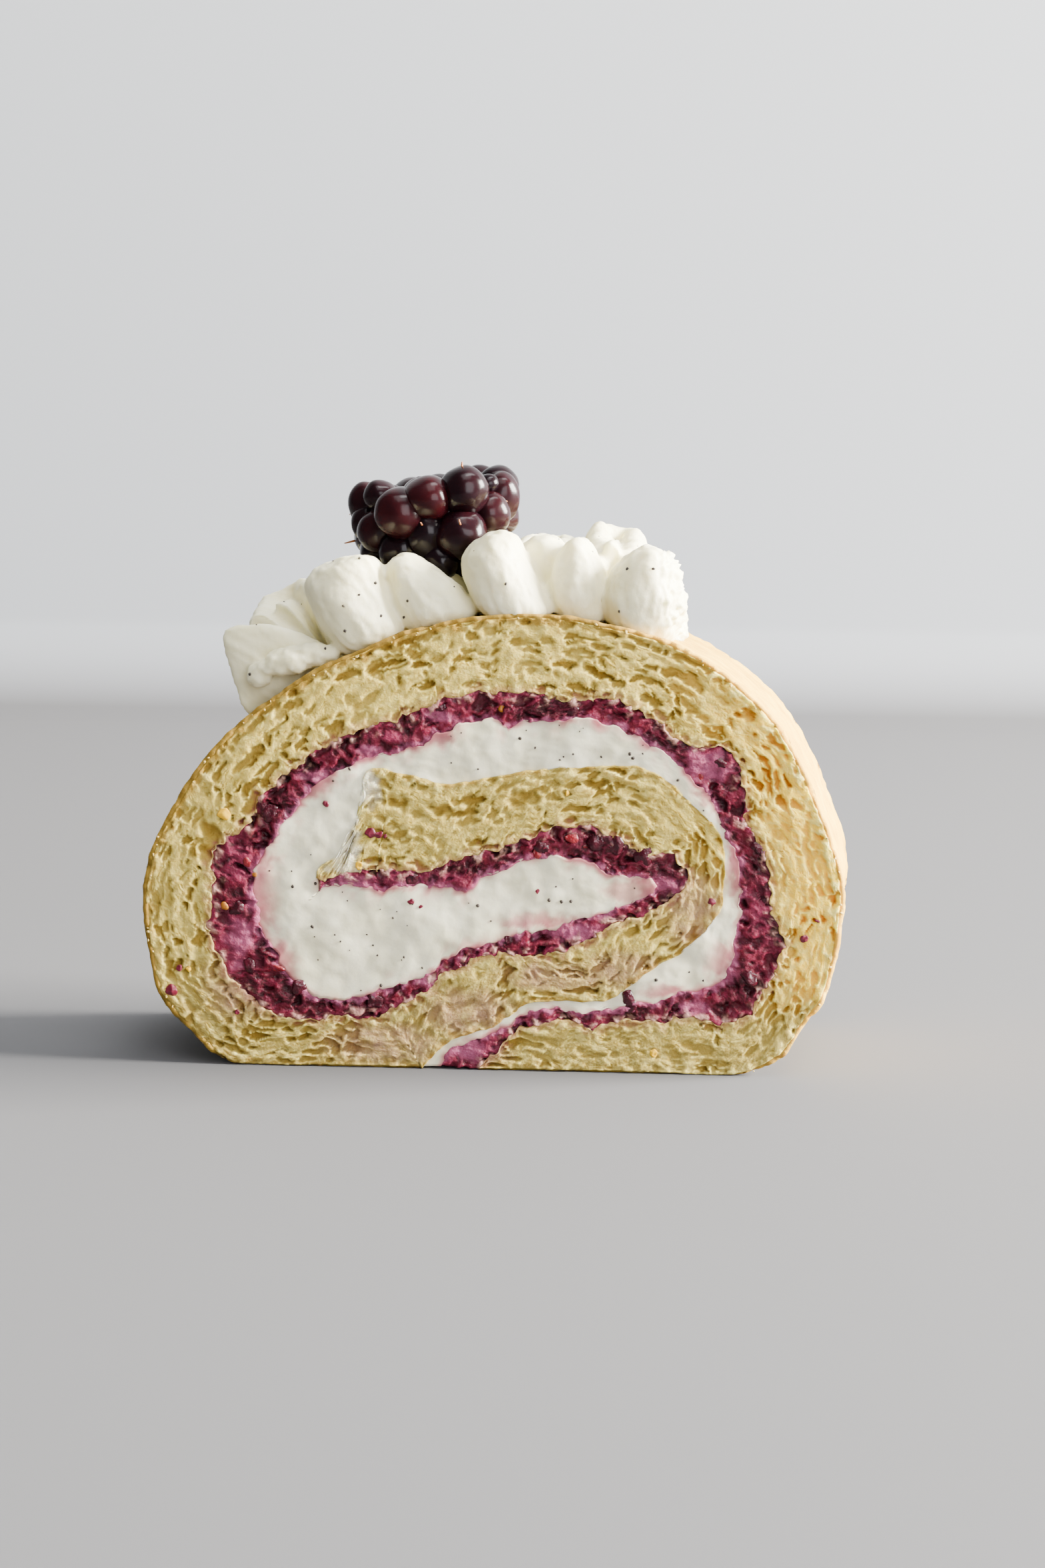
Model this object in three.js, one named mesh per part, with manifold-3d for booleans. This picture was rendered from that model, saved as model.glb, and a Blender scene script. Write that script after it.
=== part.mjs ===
// A slice of swiss roll: sponge, berry jam and cream rolled together, piped cream and a dark berry on top.
// Millimetres, +Z up. The origin is the middle of the slice on the surface it rests on.
// The cut faces look along -Y and +Y, and X runs across the roll.
import * as THREE from "three";
import { mergeVertices } from "three/addons/utils/BufferGeometryUtils.js";
import Module from "manifold-3d";

const wasm = await Module();
wasm.setup();

// Driving dimensions
const sliceDepth = 30; // along the roll's axis
const backFall = 0.042; // share of its height by which the slice is lower at its back face
const layerGap = 0.3; // left between pieces that touch
const pipingLean = 16; // degrees that the ribbon leans to the left at x = 0
const leanPerMm = 0.85; // degrees less of that for each millimetre to the right
const pipingPitch = 8.7; // from one turn of the ribbon to the next
const ribbonWidth = 5.6; // of the piped ribbon, at half height
const berryCentre = new THREE.Vector3(-9, 1.5, 65.4);
const berryTilt = -8; // degrees about Y: the stem end leans to the left
const seed = 20;

// Section through the roll, as x and z, each line read from the seam at the bottom inwards

// The baked outside: flat underneath, then the right side, the dome and the left side
const outside = [
  [-2, 0], [10, 0], [20, 0], [30, 0], [35, 2.4], [36.6, 4.2], [38.2, 6.9], [40.3, 9.7], [41.5, 14],
  [42.4, 19.5], [42.6, 23.5], [42, 26.7], [41, 29.6], [39.5, 33.5], [37.9, 37.2], [36, 41],
  [33.6, 44.5], [31, 47], [28.2, 49.4], [25, 51.5], [21.5, 53.2], [18, 54.4], [15, 55.1], [10, 56.1],
  [5, 56.5], [0, 56.3], [-5, 55.6], [-10, 54.4], [-15, 52.5], [-20, 50.3], [-25, 47.4], [-30.3, 43.6],
  [-33.4, 40.7], [-37, 36.3], [-40, 31.4], [-41.8, 28.2], [-42.9, 24.5], [-43.4, 21], [-43.1, 16],
  [-42.5, 12], [-41.6, 8.9], [-39.7, 6.3], [-38.1, 4.6], [-36.4, 2.9], [-34.5, 1.2], [-32, 0], [-20, 0],
  [-9, 0],
];

// The sheet's inner side, under the jam, from the seam to the tip at the heart of the roll
const inside = [
  [-2, 0.4], [0, 2.5], [1.8, 4.2], [3.8, 5.4], [5.9, 6.2], [10.3, 6.2], [12.4, 5.4], [14.1, 6.2],
  [20.6, 6.6], [24.4, 7.3], [28.2, 6.4], [31.2, 7.7], [32.6, 9.6], [33.7, 12], [34.8, 14.6],
  [35.2, 17], [34.8, 18.8], [33.9, 20.6], [33.8, 24.2], [33.3, 26], [33.4, 27.8], [32.2, 29.2],
  [31, 31], [30.8, 34.4], [29.8, 36.6], [29.4, 39.6], [28, 40.5], [24.1, 41.1], [21.8, 41.8],
  [20.4, 43.5], [17.4, 45.2], [15.7, 46], [10.9, 46.4], [6.8, 46.4], [2.9, 47.2], [-0.7, 46.9],
  [-4.8, 46.6], [-7.8, 45.3], [-10.7, 44.1], [-13.6, 43.1], [-16.6, 42.1], [-19.5, 40.8],
  [-22.8, 39], [-24.8, 37.2], [-27.2, 35.4], [-28.4, 33.7], [-29.3, 31.7], [-30.7, 29.9],
  [-33.1, 28.2], [-34.8, 27], [-34.9, 24.2], [-35.3, 19.5], [-35.3, 17], [-34.7, 14.9],
  [-33.6, 13.2], [-32.6, 10.8], [-30, 8.7], [-28.1, 7.1], [-25.4, 6.1], [-22.5, 6], [-19.5, 6.4],
  [-14.8, 6.4], [-13.2, 7.4], [-10.7, 8.6], [-8.1, 10.1], [-6.6, 11.3], [-4.8, 12.7], [-2.5, 13.9],
  [0, 14.6], [5.7, 14.5], [10, 15.8], [14, 18.2], [17, 19.5], [20, 21.1], [22, 22.4], [23.4, 23.5],
  [23.7, 24.8], [22.9, 26.5], [21.3, 27.6], [19.4, 27.4], [17.6, 28.1], [15.3, 28.9], [13.5, 30],
  [11.6, 30.7], [9.4, 30.9], [7.4, 30.4], [5.3, 29.5], [2.9, 28.8], [0.9, 27.9], [-3.4, 26.8],
  [-5.6, 25.9], [-7.9, 25.2], [-10.7, 24.8], [-18.1, 24.5], [-20.1, 24], [-21.6, 23.2],
];

// The browned side of the inner turn, from the seam to the tip, and round the tip's cut end
const innerTurn = [
  [-8.9, 0.4], [-6.6, 2.7], [-4.8, 3.9], [-2.5, 4.7], [-0.2, 5.4], [1.5, 6.6], [2.9, 7.7], [5, 8.7],
  [7.4, 8.9], [12.9, 8.9], [14.5, 9.4], [16.5, 10.8], [18.2, 12.1], [20, 13.3], [22.4, 14.8],
  [24.4, 16.3], [25.9, 17.8], [27.2, 19.6], [28, 21.6], [28.3, 25], [28.1, 28], [27.4, 30.3],
  [25.9, 32.2], [23.6, 34.2], [21.6, 36], [19.8, 37.4], [17.6, 38.2], [14.7, 38.3], [11.8, 38.1],
  [8.2, 37.9], [2.9, 37.2], [0, 36.6], [-3.4, 35.9], [-6.3, 35.7], [-9.2, 36.4], [-12.2, 37.2],
  [-14.9, 37.5], [-15.8, 36.7], [-15.9, 34.2], [-16.8, 31], [-18.4, 28.9], [-19.7, 26.4],
  [-21.8, 25], [-22.1, 23.8],
];

// Where the jam meets the cream: the first line as far as the fold, the second above the fold
const jamEdge = [
  [-6.9, 0.4], [-5, 2.6], [-1.9, 4], [1.2, 5.3], [3.8, 7], [5.9, 7.8], [8.8, 7.7], [14.7, 7.8],
  [17, 8.8], [19.1, 8.8], [22.1, 9.8], [25, 10.4], [27.3, 11.1], [28.4, 12.4], [29.4, 13.8],
  [29.7, 16], [29.6, 18.4], [30.2, 20.4], [30, 25.7], [29.4, 27.8], [28.4, 29.5], [27.9, 31.7],
  [26.9, 33.7], [25.5, 35.7], [24.1, 36.9], [22.6, 38.4], [20.6, 40.1], [18.2, 41.5], [16.4, 42.5],
  [14.1, 43.5], [9.4, 43.9], [4.2, 43.7], [2.2, 42.8], [0, 43.9], [-3.4, 43.1], [-6.3, 42.1],
  [-8.5, 40.9], [-11.3, 39.8], [-14.2, 39.2], [-17.5, 38.1], [-19.5, 37.1], [-21.6, 35.7],
  [-23.5, 34], [-25, 32.2], [-26.8, 30.4], [-26.9, 28.9], [-28.4, 27.1], [-29.6, 25], [-29.8, 21.3],
  [-29.4, 18.4], [-28.4, 16], [-26.9, 14], [-25.8, 12], [-24.6, 10.5], [-22.5, 9.1], [-20.1, 8.4],
  [-17.8, 8.8], [-14.8, 9.5], [-12.2, 10.4], [-9.2, 11.5], [-7.2, 12.7], [-5.7, 14.1], [-3.6, 15.3],
  [-0.4, 16], [2, 16.9], [3.8, 17.6], [5.9, 17.6], [8.8, 18.5], [11.8, 19.5], [14.7, 20.4],
  [17.1, 21.3], [19.2, 22.4], [20, 23.4],
];
const foldEdge = [
  [19.2, 24.4], [16.8, 24.6], [14.7, 24.8], [12.6, 25.6], [10.9, 26.5], [5.9, 26.7], [3.8, 26.3],
  [1.5, 25.2], [-1.7, 23.9], [-3.4, 22.3], [-5, 22.9], [-10.7, 22.8], [-13.6, 22.3], [-15.8, 22.6],
  [-18, 23.1], [-20, 22.7], [-21.8, 22.3],
];

// The ribbon's turns that look forward: where each stands on the dome, and how high
const frontTurns = [
  { x: -15.2, y: -9.6, height: 12 },
  { x: -6.6, y: -9.4, height: 10.4 },
  { x: 2.1, y: -9.5, height: 10.7 },
  { x: 10.2, y: -6, height: 10.8 },
  { x: 18, y: -9.2, height: 11 },
];

// The turns that look back
const backTurns = [
  { x: -22.8, y: 9.4, height: 12.4 },
  { x: -10.6, y: 9.6, height: 9.6 },
  { x: -2.6, y: 9.4, height: 9.8 },
  { x: 6.3, y: 9.5, height: 10.2 },
  { x: 14, y: 9.2, height: 12.2 },
];

// Drupelets of the berry, ring by ring from the hollow stem end down to the tip
const berryRings = [
  { count: 10, ring: 7.5, z: 4.2, radius: 2.75, turn: -9 },
  { count: 11, ring: 8.1, z: 0.2, radius: 2.65, turn: 22 },
  { count: 9, ring: 6.8, z: -3.6, radius: 2.5, turn: 8 },
];
const berryCore = { width: 6.6, height: 7, z: -2.6 };
const berryHollow = { width: 11.3, height: 10.8, z: 0.5 };

function seeded(start) {
  let state = start;
  return () => {
    state = (state * 1664525 + 1013904223) % 4294967296;
    return state / 4294967296;
  };
}

// Closed outlines

function signedArea(points) {
  let sum = 0;
  points.forEach(([x, z], i) => {
    const [nextX, nextZ] = points[(i + 1) % points.length];
    sum += x * nextZ - nextX * z;
  });
  return sum / 2;
}

// The outline moved outwards by the distance, or inwards where it is negative. Points in fixed stay.
function offsetOutline(points, distance, fixed = []) {
  const ring = signedArea(points) > 0 ? points : [...points].reverse();
  return ring.map((point, i) => {
    if (fixed.includes(point)) return point;
    const before = ring[(i + ring.length - 1) % ring.length];
    const after = ring[(i + 1) % ring.length];
    const a = new THREE.Vector2(point[0] - before[0], point[1] - before[1]).normalize();
    const b = new THREE.Vector2(after[0] - point[0], after[1] - point[1]).normalize();
    const normal = new THREE.Vector2(a.y + b.y, -a.x - b.x).normalize();
    const reach = distance / Math.max(0.5, normal.x * a.y - normal.y * a.x);
    return [point[0] + normal.x * reach, point[1] + normal.y * reach];
  });
}

// An outline of x and z carried from y = depth / 2 forward to y = -depth / 2
function extrudedAcross(points, depth) {
  const shape = new THREE.Shape(points.map(([x, z]) => new THREE.Vector2(x, z)));
  const geometry = new THREE.ExtrudeGeometry(shape, { depth, bevelEnabled: false, steps: 1 });
  return geometry.rotateX(Math.PI / 2).translate(0, depth / 2, 0);
}

// Solids that can be joined and cut

function solidOf(geometry) {
  const bare = geometry.clone();
  bare.deleteAttribute("normal");
  if (bare.getAttribute("uv")) bare.deleteAttribute("uv");
  const welded = mergeVertices(bare, 1e-4);
  return new wasm.Manifold(new wasm.Mesh({
    numProp: 3,
    vertProperties: new Float32Array(welded.getAttribute("position").array),
    triVerts: new Uint32Array(welded.getIndex().array),
  }));
}

function geometryOf(solid) {
  const mesh = solid.getMesh();
  const geometry = new THREE.BufferGeometry();
  const positions = new Float32Array(mesh.numVert * 3);
  for (let i = 0; i < mesh.numVert; i += 1) {
    for (let k = 0; k < 3; k += 1) positions[i * 3 + k] = mesh.vertProperties[i * mesh.numProp + k];
  }
  geometry.setAttribute("position", new THREE.BufferAttribute(positions, 3));
  geometry.setIndex(new THREE.BufferAttribute(new Uint32Array(mesh.triVerts), 1));
  geometry.computeVertexNormals();
  return geometry;
}

// The whole slice is a little lower towards its back face
function settled(geometry) {
  const position = geometry.getAttribute("position");
  for (let i = 0; i < position.count; i += 1) {
    const back = (position.getY(i) + sliceDepth / 2) / sliceDepth;
    position.setZ(i, position.getZ(i) * (1 - backFall * back));
  }
  geometry.computeVertexNormals();
  return geometry;
}

function joined(solids) {
  return solids.reduce((sum, next) => sum.add(next));
}

function largestPiece(solid) {
  return solid.decompose().reduce((best, piece) => (piece.volume() > best.volume() ? piece : best));
}

// Materials

function food(color, roughness) {
  return new THREE.MeshStandardMaterial({ color, roughness, metalness: 0 });
}

const spongeMaterial = food(0xe3cf8e, 0.9);
const jamMaterial = food(0x8e2648, 0.35);
const fillingMaterial = food(0xe8e6dc, 0.6);
const pipedMaterial = food(0xf4f2ea, 0.55);
const berryMaterial = food(0x2c1418, 0.3);

// The rolled layers, each cut through from face to face

function layer(name, outline, material) {
  const section = offsetOutline(outline, -layerGap / 2, outside);
  const mesh = new THREE.Mesh(settled(extrudedAcross(section, sliceDepth)), material);
  mesh.name = name;
  return mesh;
}

function sponge() {
  return layer("sponge", [...outside, ...innerTurn, ...[...inside].reverse()], spongeMaterial);
}

function berryJam() {
  const outline = [...inside, ...[...foldEdge].reverse(), ...[...jamEdge].reverse()];
  return layer("berry_jam", outline, jamMaterial);
}

function creamFilling() {
  const outline = [...jamEdge, ...foldEdge, ...[...innerTurn].reverse()];
  return layer("cream_filling", outline, fillingMaterial);
}

// The piped ribbon, laid to and fro over the dome

// Height of the dome at x, and the direction in which the ribbon stands there
function domeAt(x) {
  const dome = outside.slice(12, 37);
  const i = Math.max(1, dome.findIndex(([px]) => px <= x));
  const [ax, az] = dome[i - 1];
  const [bx, bz] = dome[i];
  const lean = THREE.MathUtils.degToRad(pipingLean - leanPerMm * x);
  return {
    z: az + ((bz - az) * (ax - x)) / (ax - bx),
    up: new THREE.Vector2(-Math.sin(lean), Math.cos(lean)),
  };
}

// Half section of the ribbon: share of its half width, and share of its height
const ribbonSection = [[0.82, -0.2], [0.96, 0.25], [1, 0.58], [0.82, 0.83], [0.45, 0.97], [0, 1]];

// One closed stretch of ribbon along stations of x, y, sideways direction, half widths and height
function ribbon(stations) {
  const half = ribbonSection;
  const section = [...half, ...half.slice(0, -1).reverse().map(([w, h]) => [-w, h])];
  const positions = [];
  stations.forEach(({ x, y, sideX, sideY, outer, inner, height }) => {
    const { z, up } = domeAt(x);
    section.forEach(([w, h]) => {
      const across = w * (w > 0 ? outer : inner);
      positions.push(
        x + across * sideX * up.y + up.x * h * height,
        y + across * sideY,
        z - across * sideX * up.x + up.y * h * height,
      );
    });
  });
  const size = section.length;
  const faces = [];
  for (let s = 0; s + 1 < stations.length; s += 1) {
    for (let k = 0; k < size; k += 1) {
      const a = s * size + k;
      const b = s * size + ((k + 1) % size);
      faces.push(a, b, b + size, a, b + size, a + size);
    }
  }
  const last = (stations.length - 1) * size;
  for (let k = 1; k + 1 < size; k += 1) {
    faces.push(0, k + 1, k, last, last + k, last + k + 1);
  }
  const geometry = new THREE.BufferGeometry();
  geometry.setAttribute("position", new THREE.BufferAttribute(new Float32Array(positions), 3));
  geometry.setIndex(faces);
  return geometry;
}

// One turn with a leg on each side of it, open towards the back where forward is -1
function turnOfRibbon(turn, legEnd, forward) {
  const radius = pipingPitch / 4;
  const steps = 5;
  const stations = [];
  const place = (x, y, angle) => stations.push({
    x, y, sideX: Math.cos(angle), sideY: Math.sin(angle) * forward,
    outer: ribbonWidth / 2, inner: radius * 0.95, height: turn.height,
  });
  place(turn.x - radius, legEnd, Math.PI);
  for (let i = 0; i <= steps; i += 1) {
    const angle = Math.PI - (Math.PI * i) / steps;
    place(turn.x + radius * Math.cos(angle), turn.y + forward * radius * Math.sin(angle), angle);
  }
  place(turn.x + radius, legEnd, 0);
  return ribbon(forward < 0 ? stations.reverse() : stations);
}

// The cream that closes the slit between the two legs of a turn, lower than the ribbon itself
function webOfTurn(turn, legEnd, forward) {
  const side = { x: turn.x, sideX: -forward, sideY: 0, outer: 0.9, inner: 0.9, height: turn.height * 0.86 };
  return ribbon([
    { ...side, y: legEnd + forward * 0.5 },
    { ...side, y: turn.y + forward * 0.8 },
  ]);
}

// The flat-sided end of the ribbon at the far left, and the low ridge pressed out in front of it
const startProfile = [
  [-29.6, 42], [-31.4, 45.4], [-32.6, 49], [-33.9, 53], [-33.5, 54.4], [-31.6, 55.1], [-28.6, 55.3],
  [-25.6, 54.6], [-22, 53.2], [-18, 52], [-18, 46],
];
const startDepth = 11;
const startY = -6;
const ridgeBeads = [
  [-27.4, -12, 49, 2.1], [-25.2, -12.2, 50.2, 2.2], [-22.9, -12.2, 51.3, 2.2], [-20.8, -12, 52.1, 1.9],
];

function pipedCream() {
  const pieces = [];
  const lay = (turn, legEnd, forward) => pieces.push(
    solidOf(turnOfRibbon(turn, legEnd, forward)), solidOf(webOfTurn(turn, legEnd, forward)),
  );
  frontTurns.forEach((turn) => lay(turn, 3, -1));
  backTurns.forEach((turn) => lay(turn, -2, 1));
  pieces.push(solidOf(extrudedAcross(startProfile, startDepth).translate(0, startY, 0)));
  ridgeBeads.forEach(([x, y, z, radius]) => {
    pieces.push(solidOf(new THREE.IcosahedronGeometry(radius, 1).translate(x, y, z)));
  });
  const roll = extrudedAcross(offsetOutline(outside, layerGap), sliceDepth + 20);
  const laid = settled(geometryOf(joined(pieces).subtract(solidOf(roll))));
  const cream = largestPiece(solidOf(laid).subtract(solidOf(berryPocket())));
  const mesh = new THREE.Mesh(geometryOf(cream), pipedMaterial);
  mesh.name = "piped_cream";
  return mesh;
}

// The berry, stem end up, its lower half sunk into the piped cream

function placedAsBerry(geometry) {
  const place = new THREE.Matrix4().makeRotationY(THREE.MathUtils.degToRad(berryTilt));
  return geometry.applyMatrix4(place.setPosition(berryCentre));
}

function berryPocket() {
  const { width, height, z } = berryHollow;
  return placedAsBerry(new THREE.SphereGeometry(1, 16, 10).scale(width, width, height).translate(0, 0, z));
}

function darkBerry() {
  const random = seeded(seed);
  const { width, height, z: coreZ } = berryCore;
  const core = new THREE.SphereGeometry(1, 12, 8).scale(width, width, height).translate(0, 0, coreZ);
  const pieces = [solidOf(core)];
  berryRings.forEach(({ count, ring, z, radius, turn }) => {
    for (let i = 0; i < count; i += 1) {
      const angle = THREE.MathUtils.degToRad(turn) + (2 * Math.PI * i) / count + 0.12 * (random() - 0.5);
      const size = radius * (0.95 + 0.1 * random());
      const drupelet = new THREE.IcosahedronGeometry(size, 1).rotateZ(6 * random());
      const height = z + 0.6 * (random() - 0.5);
      pieces.push(solidOf(drupelet.translate(ring * Math.sin(angle), -ring * Math.cos(angle), height)));
    }
  });
  const berry = largestPiece(joined(pieces));
  const mesh = new THREE.Mesh(placedAsBerry(geometryOf(berry)), berryMaterial);
  mesh.name = "dark_berry";
  return mesh;
}

const layers = new THREE.Group();
layers.add(sponge(), berryJam(), creamFilling(), pipedCream(), darkBerry());
layers.position.x = -(Math.min(...outside.map(([x]) => x)) + Math.max(...outside.map(([x]) => x))) / 2;

const slice = new THREE.Group();
slice.add(layers);

export default slice;
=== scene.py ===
import math
import random

import bmesh
import bpy
from mathutils import Euler, Matrix, Vector, noise
from mathutils.bvhtree import BVHTree


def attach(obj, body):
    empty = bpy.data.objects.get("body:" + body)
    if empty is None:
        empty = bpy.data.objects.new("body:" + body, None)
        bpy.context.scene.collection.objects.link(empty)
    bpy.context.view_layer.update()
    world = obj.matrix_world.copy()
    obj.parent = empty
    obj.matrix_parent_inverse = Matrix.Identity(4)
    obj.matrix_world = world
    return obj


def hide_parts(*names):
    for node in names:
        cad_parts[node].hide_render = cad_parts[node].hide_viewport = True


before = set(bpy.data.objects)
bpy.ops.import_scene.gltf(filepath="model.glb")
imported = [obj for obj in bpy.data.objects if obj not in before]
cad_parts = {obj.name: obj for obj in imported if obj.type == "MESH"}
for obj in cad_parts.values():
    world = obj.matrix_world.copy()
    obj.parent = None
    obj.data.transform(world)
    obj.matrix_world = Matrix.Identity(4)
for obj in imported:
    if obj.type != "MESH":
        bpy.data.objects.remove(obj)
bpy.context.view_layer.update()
print("frame loaded:", ", ".join(sorted(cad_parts)))

noise.seed_set(5)  # noise_vector follows this

mm = 0.001
sliceDepth = 30.0  # mm, along the roll's axis
backFall = 0.042   # share of its height by which the slice is lower at its back face
shiftX = 0.4       # mm, section drawing to row frame
crustDeep = 0.3    # mm, browned skin on the sheet


# Section through the roll in mm (x, z), each line read from the seam at the bottom inwards

outsideLine = [
    (-2, 0), (10, 0), (20, 0), (30, 0), (35, 2.4), (36.6, 4.2), (38.2, 6.9), (40.3, 9.7), (41.5, 14),
    (42.4, 19.5), (42.6, 23.5), (42, 26.7), (41, 29.6), (39.5, 33.5), (37.9, 37.2), (36, 41),
    (33.6, 44.5), (31, 47), (28.2, 49.4), (25, 51.5), (21.5, 53.2), (18, 54.4), (15, 55.1), (10, 56.1),
    (5, 56.5), (0, 56.3), (-5, 55.6), (-10, 54.4), (-15, 52.5), (-20, 50.3), (-25, 47.4), (-30.3, 43.6),
    (-33.4, 40.7), (-37, 36.3), (-40, 31.4), (-41.8, 28.2), (-42.9, 24.5), (-43.4, 21), (-43.1, 16),
    (-42.5, 12), (-41.6, 8.9), (-39.7, 6.3), (-38.1, 4.6), (-36.4, 2.9), (-34.5, 1.2), (-32, 0),
    (-20, 0), (-9, 0),
]
insideLine = [
    (-2, 0), (0, 2.5), (1.8, 4.2), (3.8, 5.4), (5.9, 6.2), (10.3, 6.2), (12.4, 5.4), (14.1, 6.2),
    (20.6, 6.6), (24.4, 7.3), (28.2, 6.4), (31.2, 7.7), (32.6, 9.6), (33.7, 12), (34.8, 14.6),
    (35.2, 17), (34.8, 18.8), (33.9, 20.6), (33.8, 24.2), (33.3, 26), (33.4, 27.8), (32.2, 29.2),
    (31, 31), (30.8, 34.4), (29.8, 36.6), (29.4, 39.6), (28, 40.5), (24.1, 41.1), (21.8, 41.8),
    (20.4, 43.5), (17.4, 45.2), (15.7, 46), (10.9, 46.4), (6.8, 46.4), (2.9, 47.2), (-.7, 46.9),
    (-4.8, 46.6), (-7.8, 45.3), (-10.7, 44.1), (-13.6, 43.1), (-16.6, 42.1), (-19.5, 40.8),
    (-22.8, 39), (-24.8, 37.2), (-27.2, 35.4), (-28.4, 33.7), (-29.3, 31.7), (-30.7, 29.9),
    (-33.1, 28.2), (-34.8, 27), (-34.9, 24.2), (-35.3, 19.5), (-35.3, 17), (-34.7, 14.9),
    (-33.6, 13.2), (-32.6, 10.8), (-30, 8.7), (-28.1, 7.1), (-25.4, 6.1), (-22.5, 6), (-19.5, 6.4),
    (-14.8, 6.4), (-13.2, 7.4), (-10.7, 8.6), (-8.1, 10.1), (-6.6, 11.3), (-4.8, 12.7), (-2.5, 13.9),
    (0, 14.6), (5.7, 14.5), (10, 15.8), (14, 18.2), (17, 19.5), (20, 21.1), (22, 22.4), (23.4, 23.5),
    (23.7, 24.8), (22.9, 26.5), (21.3, 27.6), (19.4, 27.4), (17.6, 28.1), (15.3, 28.9), (13.5, 30),
    (11.6, 30.7), (9.4, 30.9), (7.4, 30.4), (5.3, 29.5), (2.9, 28.8), (.9, 27.9), (-3.4, 26.8),
    (-5.6, 25.9), (-7.9, 25.2), (-10.7, 24.8), (-18.1, 24.5), (-20.1, 24), (-21.6, 23.2),
]
innerTurnLine = [
    (-9, 0), (-6.6, 2.7), (-4.8, 3.9), (-2.5, 4.7), (-.2, 5.4), (1.5, 6.6), (2.9, 7.7), (5, 8.7),
    (7.4, 8.9), (12.9, 8.9), (14.5, 9.4), (16.5, 10.8), (18.2, 12.1), (20, 13.3), (22.4, 14.8),
    (24.4, 16.3), (25.9, 17.8), (27.2, 19.6), (28, 21.6), (28.3, 25), (28.1, 28), (27.4, 30.3),
    (25.9, 32.2), (23.6, 34.2), (21.6, 36), (19.8, 37.4), (17.6, 38.2), (14.7, 38.3), (11.8, 38.1),
    (8.2, 37.9), (2.9, 37.2), (0, 36.6), (-3.4, 35.9), (-6.3, 35.7), (-9.2, 36.4), (-12.2, 37.2),
    (-14.9, 37.5), (-15.8, 36.7), (-15.9, 34.2), (-16.8, 31), (-18.4, 28.9), (-19.7, 26.4),
    (-21.8, 25), (-22.1, 23.8),
]
jamEdgeLine = [
    (-6.9, 0), (-5, 2.6), (-1.9, 4), (1.2, 5.3), (3.8, 7), (5.9, 7.8), (8.8, 7.7), (14.7, 7.8),
    (17, 8.8), (19.1, 8.8), (22.1, 9.8), (25, 10.4), (27.3, 11.1), (28.4, 12.4), (29.4, 13.8),
    (29.7, 16), (29.6, 18.4), (30.2, 20.4), (30, 25.7), (29.4, 27.8), (28.4, 29.5), (27.9, 31.7),
    (26.9, 33.7), (25.5, 35.7), (24.1, 36.9), (22.6, 38.4), (20.6, 40.1), (18.2, 41.5), (16.4, 42.5),
    (14.1, 43.5), (9.4, 43.9), (4.2, 43.7), (2.2, 42.8), (0, 43.9), (-3.4, 43.1), (-6.3, 42.1),
    (-8.5, 40.9), (-11.3, 39.8), (-14.2, 39.2), (-17.5, 38.1), (-19.5, 37.1), (-21.6, 35.7),
    (-23.5, 34), (-25, 32.2), (-26.8, 30.4), (-26.9, 28.9), (-28.4, 27.1), (-29.6, 25), (-29.8, 21.3),
    (-29.4, 18.4), (-28.4, 16), (-26.9, 14), (-25.8, 12), (-24.6, 10.5), (-22.5, 9.1), (-20.1, 8.4),
    (-17.8, 8.8), (-14.8, 9.5), (-12.2, 10.4), (-9.2, 11.5), (-7.2, 12.7), (-5.7, 14.1), (-3.6, 15.3),
    (-.4, 16), (2, 16.9), (3.8, 17.6), (5.9, 17.6), (8.8, 18.5), (11.8, 19.5), (14.7, 20.4),
    (17.1, 21.3), (19.2, 22.4), (20, 23.4),
]
foldLine = [
    (19.2, 24.4), (16.8, 24.6), (14.7, 24.8), (12.6, 25.6), (10.9, 26.5), (5.9, 26.7), (3.8, 26.3),
    (1.5, 25.2), (-1.7, 23.9), (-3.4, 22.3), (-5, 22.9), (-10.7, 22.8), (-13.6, 22.3), (-15.8, 22.6),
    (-18, 23.1), (-20, 22.7), (-21.8, 22.3),
]


def placeInRow(x, y, z):
    # section mm to row metres
    fall = 1 - backFall * (y + sliceDepth / 2) / sliceDepth
    return Vector(((x + shiftX) * mm, y * mm, z * fall * mm))


def smoothStep(low, high, value):
    part = min(1.0, max(0.0, (value - low) / (high - low)))
    return part * part * (3 - 2 * part)


def mixed(a, b, share):
    return a + (b - a) * share


def fractal(x, y, z):
    return noise.fractal(Vector((x, y, z)), 1.0, 2.0, 3)


def waves(x, z, scale, layer):
    # unevenness over about 1 / scale mm, another one for each layer
    return fractal(x * scale, z * scale, layer)


def solidWaves(p, scale):
    return fractal(p.x * scale, p.y * scale, p.z * scale)


def drift(x, z, scale, layer):
    # a sideways shift that changes over about 1 / scale mm
    return noise.noise_vector(Vector((x * scale, z * scale, layer)))


def smoothLine(points, step=0.22):
    # a smooth curve through the points, with one point about every step mm
    dense = []
    for i in range(len(points) - 1):
        p1, p2 = Vector(points[i]), Vector(points[i + 1])
        p0 = Vector(points[i - 1]) if i else p1 * 2 - p2
        p3 = Vector(points[i + 2]) if i + 2 < len(points) else p2 * 2 - p1
        span = (p2 - p1).length
        m1 = (p2 - p0) * (span / (span + (p1 - p0).length))
        m2 = (p3 - p1) * (span / (span + (p3 - p2).length))
        count = max(1, math.ceil(span / step))
        for k in range(count):
            t = k / count
            dense.append(
                p1 * (2 * t**3 - 3 * t**2 + 1) + m1 * (t**3 - 2 * t**2 + t)
                + p2 * (3 * t**2 - 2 * t**3) + m2 * (t**3 - t**2))
    dense.append(Vector(points[-1]))
    return dense


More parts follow.
